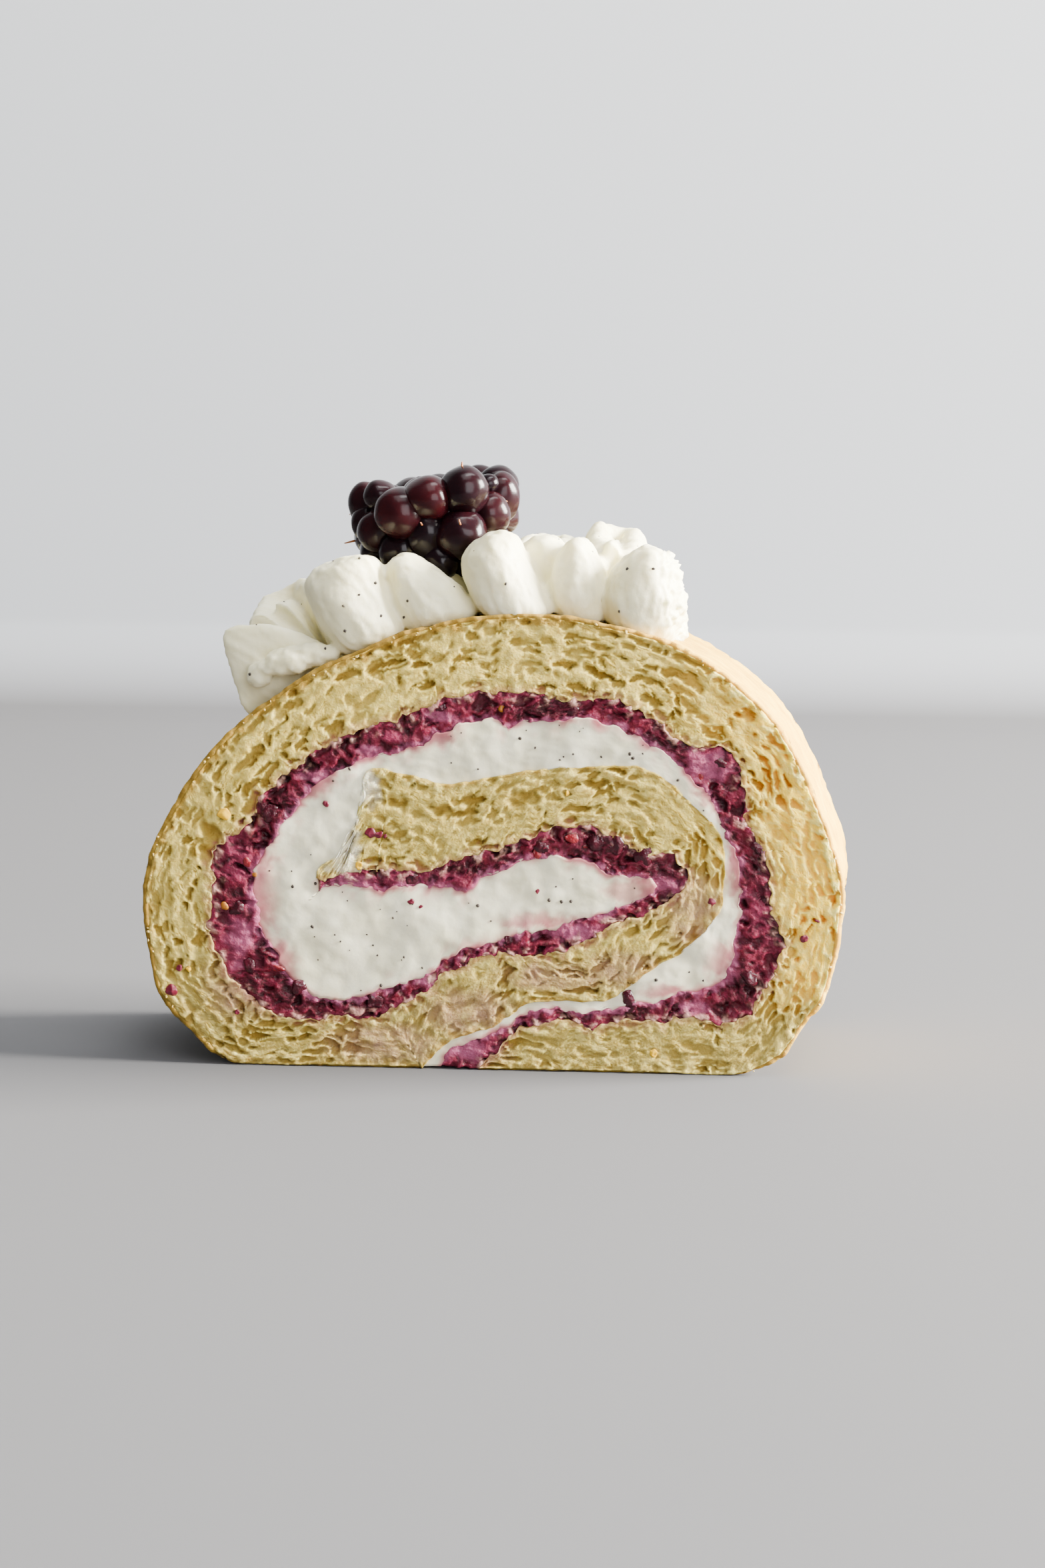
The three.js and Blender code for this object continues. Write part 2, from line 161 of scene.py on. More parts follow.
def ragged(line, amount, scale, seedShift):
    # the line torn a little sideways by an amount in mm, less where it meets the base
    torn = []
    for p in line:
        calm = smoothStep(0.2, 2.5, p.y)
        shift = noise.noise_vector(Vector((p.x / scale, p.y / scale, seedShift)))
        fine = noise.noise_vector(Vector((p.x * 2.7 / scale, p.y * 2.7 / scale, seedShift + 7)))
        torn.append(p + Vector((shift.x + 0.65 * fine.x, shift.y + 0.65 * fine.y)) * amount * calm)
    return torn


def insetLine(line, distance):
    moved = []
    for i, p in enumerate(line):
        along = line[min(i + 1, len(line) - 1)] - line[max(i - 1, 0)]
        moved.append(p + Vector((-along.y, along.x)).normalized() * distance)
    return moved


def nearestIndex(line, target, start=0):
    return min(range(start, len(line)), key=lambda i: (line[i] - Vector(target)).length)


def pathLength(points):
    return sum((b - a).length for a, b in zip(points, points[1:]))


def alongPath(points, share):
    goal = pathLength(points) * share
    for a, b in zip(points, points[1:]):
        step = (b - a).length
        if goal <= step:
            return a.lerp(b, goal / step if step else 0)
        goal -= step
    return points[-1].copy()


def columnsBetween(lineA, lineB, matches, step, overlap=(0, 0)):
    # pairs of points on two lines, matched piece by piece, with the distance run so far
    pairs, run, ends = [], 0.0, []
    ia = ib = 0
    for ax, az, bx, bz in matches:
        ia, ib = nearestIndex(lineA, (ax, az), ia), nearestIndex(lineB, (bx, bz), ib)
        ends.append((ia, ib))
    for (a0, b0), (a1, b1) in zip(ends, ends[1:]):
        partA, partB = lineA[a0:a1 + 1], lineB[b0:b1 + 1]
        length = (pathLength(partA) + pathLength(partB)) / 2
        count = max(1, math.ceil(length / step))
        for k in range(count):
            share = k / count
            pairs.append((alongPath(partA, share), alongPath(partB, share), run + length * k / count))
        run += length
    pairs.append((lineA[ends[-1][0]].copy(), lineB[ends[-1][1]].copy(), run))
    grown = []
    for a, b, run in pairs:
        across = (b - a).normalized()
        grown.append((a - across * overlap[0], b + across * overlap[1], run))
    return grown


# Materials

def hexColour(text):
    # sRGB hex to linear RGBA
    parts = [int(text[i:i + 2], 16) / 255 for i in (1, 3, 5)]
    return tuple(c / 12.92 if c <= 0.04045 else ((c + 0.055) / 1.055) ** 2.4 for c in parts) + (1.0,)


def addNode(tree, kind, settings=None, inputs=None, out=None, stops=()):
    # adds a node with its settings, inputs or links and colour stops; gives back the output asked for, or the node
    node = tree.nodes.new(kind)
    for key, value in (settings or {}).items():
        setattr(node, key, value)
    for key, value in (inputs or {}).items():
        if isinstance(value, bpy.types.NodeSocket):
            tree.links.new(value, node.inputs[key])
        else:
            node.inputs[key].default_value = hexColour(value) if isinstance(value, str) else value
    for _ in stops[2:]:
        node.color_ramp.elements.new(0.5)
    for i, (place, colour) in enumerate(stops):
        node.color_ramp.elements[i].position = place
        node.color_ramp.elements[i].color = hexColour(colour)
    return node if out is None else node.outputs[out]


def newMaterial(name, finish):
    # a material with its shader, and a node that gives the place on the object in mm
    material = bpy.data.materials.new(name)
    material.use_nodes = True
    tree = material.node_tree
    tree.nodes.clear()
    shader = addNode(tree, "ShaderNodeBsdfPrincipled", inputs=finish, out="BSDF")
    addNode(tree, "ShaderNodeOutputMaterial", inputs={"Surface": shader})
    place = addNode(tree, "ShaderNodeTexCoord", out="Object")
    addNode(tree, "ShaderNodeVectorMath", {"operation": "SCALE", "name": "inMm"}, {0: place, "Scale": 1000.0})
    return material, tree


def factorOf(tree, what):
    # a value over the surface: a vertex value by its name, patches (size in mm, detail), another
    # factor stretched (factor, low, high, value at low, value at high), or the socket given
    if isinstance(what, str):
        return addNode(tree, "ShaderNodeAttribute", {"attribute_name": what}, out="Fac")
    if not isinstance(what, tuple):
        return what
    if len(what) == 2:
        return addNode(tree, "ShaderNodeTexNoise", inputs={
            "Vector": tree.nodes["inMm"].outputs[0], "Scale": 1 / what[0], "Detail": what[1]}, out="Fac")
    inputs = dict(zip(("Value", "From Min", "From Max", "To Min", "To Max"), (factorOf(tree, what[0]), *what[1:])))
    return addNode(tree, "ShaderNodeMapRange", inputs=inputs, out="Result")


def toned(tree, tone, *layers):
    # a tone, or (factor, stops), with colours laid over it in turn, each as strongly as its factor
    if isinstance(tone, tuple):
        tone = addNode(tree, "ShaderNodeValToRGB", inputs={"Fac": factorOf(tree, tone[0])}, out="Color", stops=tone[1])
    for factor, colour in layers:
        tone = addNode(tree, "ShaderNodeMix", {"data_type": "RGBA"},
                       {0: factorOf(tree, factor), 6: tone, 7: colour}, out=2)
    return tone


def finishSurface(tree, tone, height, strength, distanceMm, driven=None):
    # the shader's colour, fine relief by a factor, and other inputs that factors drive
    bump = addNode(tree, "ShaderNodeBump", inputs={
        "Strength": strength, "Distance": distanceMm * mm, "Height": factorOf(tree, height)}, out="Normal")
    for key, value in {"Base Color": tone, "Normal": bump, **(driven or {})}.items():
        tree.links.new(factorOf(tree, value), tree.nodes["Principled BSDF"].inputs[key])


def plainMaterial(name, finish, tone, layers, bump, driven=None):
    material, tree = newMaterial(name, finish)
    finishSurface(tree, toned(tree, tone, *layers), *bump, driven)
    return material


def smallThing(name, dark, light, roughness):
    # two close tones in patches
    return plainMaterial(name, {"Roughness": roughness}, dark, [((0.6, 3.0), light)], ((0.25, 4.0), 0.4, 0.1))


def spongeCrumb():
    # whisked egg sponge, torn by the knife: matt and a little see-through, with pale strands; the pores are painted
    # darker and deeper yellow as painted shade, the thin walls lighter as painted highlight
    material, tree = newMaterial("spongeCrumb", {
        "Roughness": 0.9, "IOR": 1.4, "Specular IOR Level": 0.12, "Subsurface Weight": 0.4,
        "Subsurface Radius": (1.0, 0.7, 0.25), "Subsurface Scale": 0.001})
    # paintedGlow: the crumb on the right painted warmer and brighter, as painted glow of the window light coming
    # through from the right
    paintedGlow = factorOf(tree, "paintedGlow")
    # dense: painted shade, darker crumb where less light falls: low down, in the inner turns and on the far left
    body = toned(tree, ((2.8, 3.0), [(0.3, "#bba34c"), (0.52, "#cab258"), (0.75, "#d8c064")]),
                 ((0.4, 4.0), "#d2ba60"), (paintedGlow, "#f4c840"), ("dense", "#8c7a42"))
    sheet = addNode(tree, "ShaderNodeCombineXYZ", inputs={
        "X": factorOf(tree, "along"), "Y": factorOf(tree, "across")}, out=0)
    bend = addNode(tree, "ShaderNodeTexNoise", inputs={
        "Vector": tree.nodes["inMm"].outputs[0], "Scale": 0.9, "Detail": 3.0}, out="Color")
    bent = addNode(tree, "ShaderNodeVectorMath", {"operation": "MULTIPLY_ADD"},
                   {0: bend, 1: (1.1, 0.9, 0.0), 2: sheet}, out=0)
    drawn = addNode(tree, "ShaderNodeVectorMath", {"operation": "MULTIPLY"}, {0: bent, 1: (0.95, 2.1, 1.0)}, out=0)
    cells = addNode(tree, "ShaderNodeTexVoronoi", {"voronoi_dimensions": "2D"},
                    {"Vector": drawn, "Scale": 1.0}, out="Distance")
    # finePore: fine pores in the shader, sunk by the bump and painted darker as painted shade
    finePore = addNode(tree, "ShaderNodeMath", {"operation": "MULTIPLY"}, {
        0: factorOf(tree, (cells, 0.1, 0.42, 1.0, 0.0)),
        1: factorOf(tree, ((1.7, 3.0), 0.4, 0.62, 0.05, 0.75))}, out=0)
    poreShade = toned(tree, "#a08235", (paintedGlow, "#dc9c2c"))
    finePoreShade = toned(tree, "#ab913a", (paintedGlow, "#e0aa38"))
    tone = toned(tree, body, (finePore, finePoreShade), ("wall", "#e2d07a"), ("pore", poreShade), ("soakAndShade", "#a88568"),
                 ("brown", "#9a7629"), ("stain", "#944454"), ("smear", "#e6dfc4"))
    height = addNode(tree, "ShaderNodeMath", {"operation": "MULTIPLY_ADD"},
                     {0: finePore, 1: -0.8, 2: factorOf(tree, (0.3, 5.0))}, out=0)
    finishSurface(tree, tone, height, 0.55, 0.25, {"Subsurface Scale": (paintedGlow, 0.0, 1.0, 0.0012, 0.0035)})
    return material


def bakedCrust():
    # the sheet's browned skin: thin and dry, golden on the dome, painted paler on the right as painted light where the
    # window falls
    material, tree = newMaterial("bakedCrust", {
        "Roughness": 0.72, "Specular IOR Level": 0.3, "Subsurface Weight": 0.15,
        "Subsurface Radius": (1.0, 0.6, 0.3), "Subsurface Scale": 0.0008})
    golden = toned(tree, ((6.0, 5.0), [(0.3, "#86681f"), (0.5, "#9a7a28"), (0.72, "#ae9036")]),
                   ((0.6, 5.0), "#967628"))
    # pale: painted light on the skin's right side
    pale = toned(tree, ((3.0, 4.0), [(0.3, "#bc8c24"), (0.52, "#d0a232"), (0.75, "#deb646")]))
    pits = addNode(tree, "ShaderNodeTexVoronoi", inputs={
        "Vector": tree.nodes["inMm"].outputs[0], "Scale": 0.75}, out="Distance")
    skin = toned(tree, golden, ("pale", pale), ((pits, 0.06, 0.2, 0.7, 0.0), "#b98540"))
    finishSurface(tree, skin, (0.35, 6.0), 0.5, 0.2)
    return material


def crushedJam():
    # crushed berries soaked into crumb: crimson strands round pits painted dark as painted shade, their rims painted
    # rosier as painted highlight, dark wet patches of their own, rosy where cream is stirred in
    return plainMaterial("crushedJam", {
        "IOR": 1.4, "Specular IOR Level": 0.3, "Subsurface Weight": 0.15,
        "Subsurface Radius": (1.0, 0.2, 0.15), "Subsurface Scale": 0.0008},
        ("tone", [(0.0, "#380610"), (0.3, "#520d1a"), (0.55, "#691426"), (0.8, "#7f2038"), (1.0, "#8c2434")]),
        [((0.4, 4.0), "#5e1222"), ("rosy", "#8c3450"), ("dark", "#200509"), ("creamy", "#ac5c7c"),
         ("strand", "#c09484")],
        ((0.35, 4.0), 0.7, 0.25), {"Roughness": ((1.1, 3.0), 0.42, 0.58, 0.14, 0.7)})


def spreadCream():
    # whipped cream spread in the roll: satin off-white, rosy where jam has bled in
    material, tree = newMaterial("spreadCream", {
        "Roughness": 0.55, "Subsurface Weight": 0.3, "Subsurface Radius": (1.0, 0.9, 0.65), "Subsurface Scale": 0.0015})
    white = toned(tree, ((4.0, 3.0), [(0.3, "#e2dcba"), (0.55, "#e9e4c6"), (0.8, "#eeead0")]))
    pink = toned(tree, ("pink", [(0.0, "#ffffff"), (0.35, "#ecc8cd"), (0.7, "#c6798f"), (1.0, "#993a56")]))
    tinted = addNode(tree, "ShaderNodeMix", {"data_type": "RGBA", "blend_type": "MULTIPLY"},
                     {0: 1.0, 6: white, 7: pink}, out=2)
    finishSurface(tree, tinted, (0.9, 5.0), 0.22, 0.2)
    return material


def pipedWhippedCream():
    # piped whipped cream: smooth and soft, light goes a little way in and its shadows turn yellowish
    return plainMaterial("pipedWhippedCream", {
        "Roughness": 0.5, "Subsurface Weight": 0.4, "Subsurface Radius": (1.0, 0.95, 0.6), "Subsurface Scale": 0.0018},
        ((8.0, 2.0), [(0.3, "#e9e2b8"), (0.7, "#f1ebc8")]), [], ((0.9, 5.0), 0.3, 0.25))


def drupeletSkin():
    # ripe bramble fruit: tight glossy skin, nearly black, wine red where light gets through
    return plainMaterial("drupeletSkin", {
        "Roughness": 0.2, "IOR": 1.36, "Specular IOR Level": 0.28, "Subsurface Weight": 0.1,
        "Subsurface Radius": (1.0, 0.15, 0.12), "Subsurface Scale": 0.0012},
        "#0b0507", [("tone", "#32090c"), ((2.2, 3.0), "#10070c")], ((1.2, 3.0), 0.15, 0.2))


# Meshes

def addObject(name, data):
    holder = bpy.data.objects.new(name, data)
    bpy.context.scene.collection.objects.link(holder)
    return holder


def meshOf(bm, name):
    mesh = bpy.data.meshes.new(name)
    bm.to_mesh(mesh)
    bm.free()
    return mesh


def finishPiece(bm, name, material, nodes):
    # a bmesh made a piece that rides on the body and stands for its solid
    mesh = meshOf(bm, name)
    piece = addObject(name, mesh)
    mesh.materials.append(material)
    mesh.shade_smooth()
    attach(piece, "root")
    if nodes:
        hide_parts(*nodes)
    print("piece:", name, sum(len(p.vertices) - 2 for p in mesh.polygons), "triangles")
    return piece


def sheetGrid(bm, columns, rows):
    # two grids joined at their rims; gives back the vertices of the second
    bmesh.ops.create_grid(bm, x_segments=columns, y_segments=rows, size=1)
    grown = bmesh.ops.extrude_face_region(bm, geom=bm.faces[:])
    return {part for part in grown["geom"] if isinstance(part, bmesh.types.BMVert)}


def gridPlace(v, columns, rows):
    return round((v.co.x + 1) / 2 * columns), round((v.co.y + 1) / 2 * rows)


def layerBetween(columns, rows, relief):
    # a layer of the roll from face to face, with relief on both cut faces
    bm = bmesh.new()
    a, b, run = columns[0]
    names = relief(a.x, a.y, run, 0.0, (b - a).length, False)[1]
    layers = {name: bm.verts.layers.float.new(name) for name in names}
    behindVerts = sheetGrid(bm, len(columns) - 1, rows)
    for v in bm.verts:
        i, j = gridPlace(v, len(columns) - 1, rows)
        a, b, run = columns[i]
        share = j / rows
        at = a.lerp(b, share)
        behind = v in behindVerts
        depth, values = relief(at.x, at.y, run, share, (b - a).length, behind)
        depth = max(0.0, depth)
        v.co = placeInRow(at.x, sliceDepth / 2 - depth if behind else depth - sliceDepth / 2, at.y)
        for name, value in values.items():
            v[layers[name]] = value
    bmesh.ops.recalc_face_normals(bm, faces=bm.faces[:])
    return bm


cellSpread = 7.31  # sets the centres of cells apart, so that each has its own number


def cellPattern(s, t, size, shift):
    # cells of the given size: how far inside one, and its own number from 0 to 1
    distances, centres = noise.voronoi(Vector((s / size[0], t / size[1], shift)))
    return distances[1] - distances[0], (noise.cell(centres[0] * cellSpread) + 1) / 2


def openPore(s, t, size, shift, share):
    # how open a pore is here, of which only a share of the cells holds one, and how far its wall is
    edge, pick = cellPattern(s, t, size, shift)
    own = (pick - 1 + share) / share
    start = mixed(0.26, 0.07, own)
    return (smoothStep(start, start + 0.12, edge) * mixed(0.55, 1.0, own) if own > 0 else 0.0), edge


def near(places, x, z, rag=0.0):
    # how close a point is to any of the places (x, z, half width, half height)
    return max(1 - smoothStep(0.35, 1.15, math.hypot((x - cx) / rx, (z - cz) / rz) + rag)
               for cx, cz, rx, rz in places)


# Sponge: crumb

crumb = {
    "step": 0.25,          # mm between columns
    "rows": 36,
    "slit": (3.9, 1.0),    # mm, cells that may hold a long pore: along and across the sheet
    "pore": (1.7, 0.95),   # rounder ones
    "deep": 1.05,          # mm
}
# places that face each other, on the first line (x, z) and on the second
spongeMatches = [
    (-2, 0, -2, .4), (10, 0, 10.3, 6.2), (30, 0, 28.2, 6.4), (38.2, 6.9, 33.7, 12), (42.4, 19.5, 34.8, 18.8),
    (41, 29.6, 32.2, 29.2), (36, 41, 29.4, 39.6), (25, 51.5, 20.4, 43.5), (10, 56.1, 10.9, 46.4),
    (-5, 55.6, -4.8, 46.6), (-20, 50.3, -16.6, 42.1), (-33.4, 40.7, -27.2, 35.4), (-41.8, 28.2, -34.8, 27),
    (-43.1, 16, -35.3, 17), (-39.7, 6.3, -32.6, 10.8), (-32, 0, -28.1, 7.1), (-20, 0, -19.5, 6.4),
    (-9, 0, -13.2, 7.4), (-4.8, 3.9, -8.1, 10.1), (2.9, 7.7, 0, 14.6), (14.5, 9.4, 10, 15.8), (22.4, 14.8, 20, 21.1),
    (28.3, 25, 23.7, 24.8), (25.9, 32.2, 19.4, 27.4), (17.6, 38.2, 13.5, 30), (2.9, 37.2, .9, 27.9),
    (-9.2, 36.4, -10.7, 24.8), (-15.8, 36.7, -18.1, 24.5), (-22.1, 23.8, -21.6, 23.2),
]
# places where jam has soaked into the crumb; their darker tone also stands in for painted shade low on the slice
soakAndShadePlaces = [(-14, 3, 9, 3.2), (8, 12, 9, 2.4), (25, 20, 5, 6), (-3, 7, 7, 4), (16, 13, 6, 3), (-31, 10, 6, 5),
             (-2, 2, 5, 2)]
smearedPlaces = [(-18.5, 28, 2.6, 5), (-15.5, 35.5, 1.8, 3)]
bigHoles = [(-35.3, 28.2, 1.5, 2.9), (-12, 33.2, 1.3, 1.0), (-6.4, 32.4, 1.5, 1.0), (3.6, 34.2, 1.8, 1.1),
            (-29, 39.5, 1.2, 0.8), (31, 44.5, 1.0, 1.2), (12.8, 35.9, 1.4, 0.6), (24.5, 17.6, 0.8, 1.0)]

outerSmooth = smoothLine(outsideLine)
insideSmooth = ragged(smoothLine(insideLine), 0.6, 1.5, 1)
innerTurnSmooth = ragged(smoothLine(innerTurnLine), 0.22, 2.0, 2)
crumbOutside = ragged(insetLine(outerSmooth, crustDeep), 0.12, 0.9, 6) + innerTurnSmooth
spongeColumns = columnsBetween(crumbOutside, insideSmooth, spongeMatches, crumb["step"])
innerRun = next(run for a, b, run in spongeColumns if (a - innerTurnSmooth[0]).length < 2)


def paintedLightRight(x, y, z):
    # painted light: the skin is painted paler on the right, where the window light falls, and the crumb's brown edge
    # under it fades there
    return smoothStep(8, 30, x + 5 * fractal(x * 0.1, y * 0.1, z * 0.1))


def crumbRelief(x, z, run, share, width, behind):
    shift = 40 if behind else 11
    across = share * width
    toJam = width - across
    warp, fine = drift(x, z, 0.24, shift + 3), drift(x, z, 0.95, shift + 9)
    s, t = run + 1.6 * warp.x + 0.55 * fine.x, across + 0.8 * warp.y + 0.34 * fine.y
    slit, slitEdge = openPore(s, t, crumb["slit"], shift, 0.5)
    pore, poreEdge = openPore(s, t, crumb["pore"], shift + 2, 0.42)
    sides = smoothStep(16, 30, abs(x) + 6 * warp.x)
    big = max(slit * mixed(1.0, 0.75, sides), pore * mixed(0.7, 1.0, sides))
    big *= mixed(0.4, 1.15, smoothStep(-0.3, 0.3, waves(x, z, 0.12, shift + 20) + 0.3 * smoothStep(25, 48, z)))
    calm = smoothStep(0.0, 0.5, min(across, toJam))
    hole = 0.0
    if not behind:
        for cx, cz, rx, rz in bigHoles:
            away = math.hypot((x - cx + 1.1 * fine.x) / rx, (z - cz + 1.0 * fine.y) / rz)
            hole = max(hole, 1 - smoothStep(0.55, 1.15, away))
    big = max(big, hole * (0.95 + 0.5 * fine.x)) * calm
    flecks = smoothStep(0.05, 0.4, waves(x, z, 0.9, shift + 63)) * (1 - smoothStep(0.6, 2.4, min(across, toJam)))
    depth = 0.2 + crumb["deep"] * big - 0.18 * flecks
    depth += 0.22 * fractal(s * 0.22, t * 0.7, shift + 1) + 0.09 * fractal(s * 0.7, t * 1.9, shift + 4)
    skin = across + 0.9 * waves(x, z, 0.8, 8)
    outer = run < innerRun
    brown = 1 - smoothStep(0.1, 1.1 if outer else 0.75, skin)
    browned = 0.55 * smoothStep(-17, -11, x)
    if outer:
        # the crumb's brown edge fades out on the right, under the painted light of the skin
        browned = mixed(0.4, 0.85, smoothStep(12, 36, z)) * (1 - paintedLightRight(x, 0, z))
    # painted shade: the crumb darkens towards the bottom (low), in the inner turns and on the far left (innerLeftShade)
    toRight, low = smoothStep(18, 40, x + 4 * warp.y), smoothStep(17, 2, z + 4 * warp.x)
    innerLeftShade = 0.36 if run > innerRun else 0.36 * smoothStep(-28, -36, x)
    # painted highlight along the thin walls round the pores; the raised flecks near the layer edges are pale crumb of
    # their own
    wallHighlight = 0.55 * (1 - smoothStep(0.0, 0.08, min(slitEdge, poreEdge)))
    return depth, {
        "along": s, "across": t,
        # pore: how deep the pore is, which the material paints darker as painted shade
        "pore": 0.95 * big,
        "wall": max(wallHighlight, 0.9 * flecks) * (1 - big),
        # jam soaked into the crumb, darkened further as painted shade
        "soakAndShade": near(soakAndShadePlaces, x, z) * (0.6 + 0.4 * waves(x, z, 0.5, 2)),
        "smear": 0.0 if outer else near(smearedPlaces, x, z, 0.5 * fine.x) * 0.8,
        # dense: painted shade, not a denser crumb
        "dense": min(0.9, 0.75 * low + innerLeftShade),
        "brown": brown * browned,
        # painted glow: warmer and brighter towards the right, where the window light comes through
        "paintedGlow": toRight * (0.4 + 0.6 * smoothStep(0, 3.5, toJam)) * smoothStep(3, 12, z + 3 * warp.x),
        "stain": (1 - smoothStep(0.0, 1.3, toJam + 0.9 * waves(x, z, 0.9, 31))) * mixed(0.35, 0.75, big),
    }


bm = layerBetween(spongeColumns, crumb["rows"], crumbRelief)
finishPiece(bm, "spongeCrumb", spongeCrumb(), ["sponge"])


# Sponge: browned skin all round the outside

crust = {"step": 0.45, "rows": 60, "wave": 0.22, "pit": 0.12}


def crustSkin():
    bm = bmesh.new()
    count = int(pathLength(outerSmooth) / crust["step"])
    rows = crust["rows"]
    path = [alongPath(outerSmooth, i / count) for i in range(count + 1)]
    pale = bm.verts.layers.float.new("pale")
    inner = sheetGrid(bm, count, rows)
    for v in bm.verts:
        i, j = gridPlace(v, count, rows)
        p = path[i]
        along = (path[min(i + 1, count)] - path[max(i - 1, 0)]).normalized()
        y = -sliceDepth / 2 + sliceDepth * j / rows
        lift = -(crustDeep + 0.3)
        if v not in inner:
            pit = 1 - smoothStep(0.1, 0.45, noise.voronoi(Vector((p.x * 0.5, y * 0.5, p.y * 0.5)))[0][0])
            lift = (crust["wave"] * fractal(p.x * 0.2, y * 0.2, p.y * 0.2) + 0.07 * fractal(p.x, y, p.y)
                    - crust["pit"] * pit) * smoothStep(0.05, 1.0, p.y)
        lift += 0.24 * (1 - smoothStep(0.0, 1.1, sliceDepth / 2 - abs(y))) * smoothStep(0.3, 2.0, p.y)
        q = p - Vector((-along.y, along.x)) * lift
        torn = 0.1 + abs(0.8 * fractal(p.x * 0.55, p.y * 0.55, 3)) + 0.5 * smoothStep(2, 0, p.y)
        y = min(sliceDepth / 2 - torn, max(torn - sliceDepth / 2, y))
        v.co = placeInRow(q.x, y, max(0.0, q.y))
        # pale: the skin painted paler on the right as painted light, less so near the floor
        v[pale] = paintedLightRight(p.x, y, p.y) * smoothStep(1, 9, p.y)
    bmesh.ops.recalc_face_normals(bm, faces=bm.faces[:])
    return bm


finishPiece(crustSkin(), "bakedCrust", bakedCrust(), ["sponge"])


# Jam

jam = {
    "step": 0.27,
    "rows": 20,
    "pit": (2.0, 1.5),        # mm, cells that may hold a pit, painted dark as painted shade
    "smallPit": (1.0, 0.75),
    "patch": (2.6, 1.8),      # mm, patches of one tone
    "deep": 0.9,              # mm
}
jamMatches = [
    (-2, .4, -6.9, .4), (5.9, 6.2, 5.9, 7.8), (20.6, 6.6, 19.1, 8.8), (31.2, 7.7, 27.3, 11.1), (35.2, 17, 29.7, 16),
    (33.4, 27.8, 29.4, 27.8), (29.4, 39.6, 24.1, 36.9), (21.8, 41.8, 20.6, 40.1), (6.8, 46.4, 4.2, 43.7),
    (-4.8, 46.6, -3.4, 43.1), (-16.6, 42.1, -14.2, 39.2), (-27.2, 35.4, -23.5, 34), (-34.8, 27, -29.6, 25),
    (-35.3, 17, -29.4, 18.4), (-32.6, 10.8, -25.8, 12), (-25.4, 6.1, -22.5, 9.1), (-14.8, 6.4, -14.8, 9.5),
    (-8.1, 10.1, -9.2, 11.5), (-2.5, 13.9, -3.6, 15.3), (10, 15.8, 8.8, 18.5), (20, 21.1, 17.1, 21.3),
    (23.7, 24.8, 20, 23.4), (19.4, 27.4, 16.8, 24.6), (11.6, 30.7, 10.9, 26.5), (.9, 27.9, 1.5, 25.2),
    (-5.6, 25.9, -5, 22.9), (-10.7, 24.8, -10.7, 22.8), (-21.6, 23.2, -21.8, 22.3),
]
creamyPlaces = [(26, 38.5, 3, 2.2), (-6.5, 44.0, 2.4, 0.8), (-15.5, 39.8, 1.8, 0.7), (-31.5, 15.5, 1.8, 3.5),
                (-29.5, 21, 1.2, 2.5), (10, 17.6, 5, 1.2), (20.8, 23.6, 2.6, 1.5), (-18, 23.6, 3.5, 0.9),
                (-3, 2.6, 3, 1.8), (28.6, 13, 1.5, 2), (24.5, 8.4, 2.5, 1), (-22, 36.5, 2, 1.1), (-8, 11, 3, 0.9)]
rosyPlaces = [(-12, 41.4, 4, 1.0), (-32, 26, 3, 4), (26, 39, 4, 3), (12, 17.5, 7, 2), (-32, 16, 3, 6), (0, 3, 5, 4),
              (33, 20, 2.5, 6), (-10, 24, 9, 2)]
darkPlaces = [(13.5, 28.4, 6.5, 2.4), (-3.5, 25.2, 5, 1.0), (31, 11.5, 3.5, 3), (16.5, 7.5, 4, 1.3),
              (-24, 8.5, 6, 1.8), (32.5, 27, 2, 4), (-16, 8, 4, 1.3), (6, 45, 6, 1.3), (-28, 32, 2.5, 2.5),
              (20.5, 25.5, 2.5, 1.8)]
jamEdgeSmooth = ragged(smoothLine(jamEdgeLine), 0.55, 1.6, 3)
foldSmooth = ragged(smoothLine(foldLine), 0.5, 1.6, 4)
jamColumns = columnsBetween(insideSmooth, jamEdgeSmooth + foldSmooth, jamMatches, jam["step"], (0.15, 0.15))


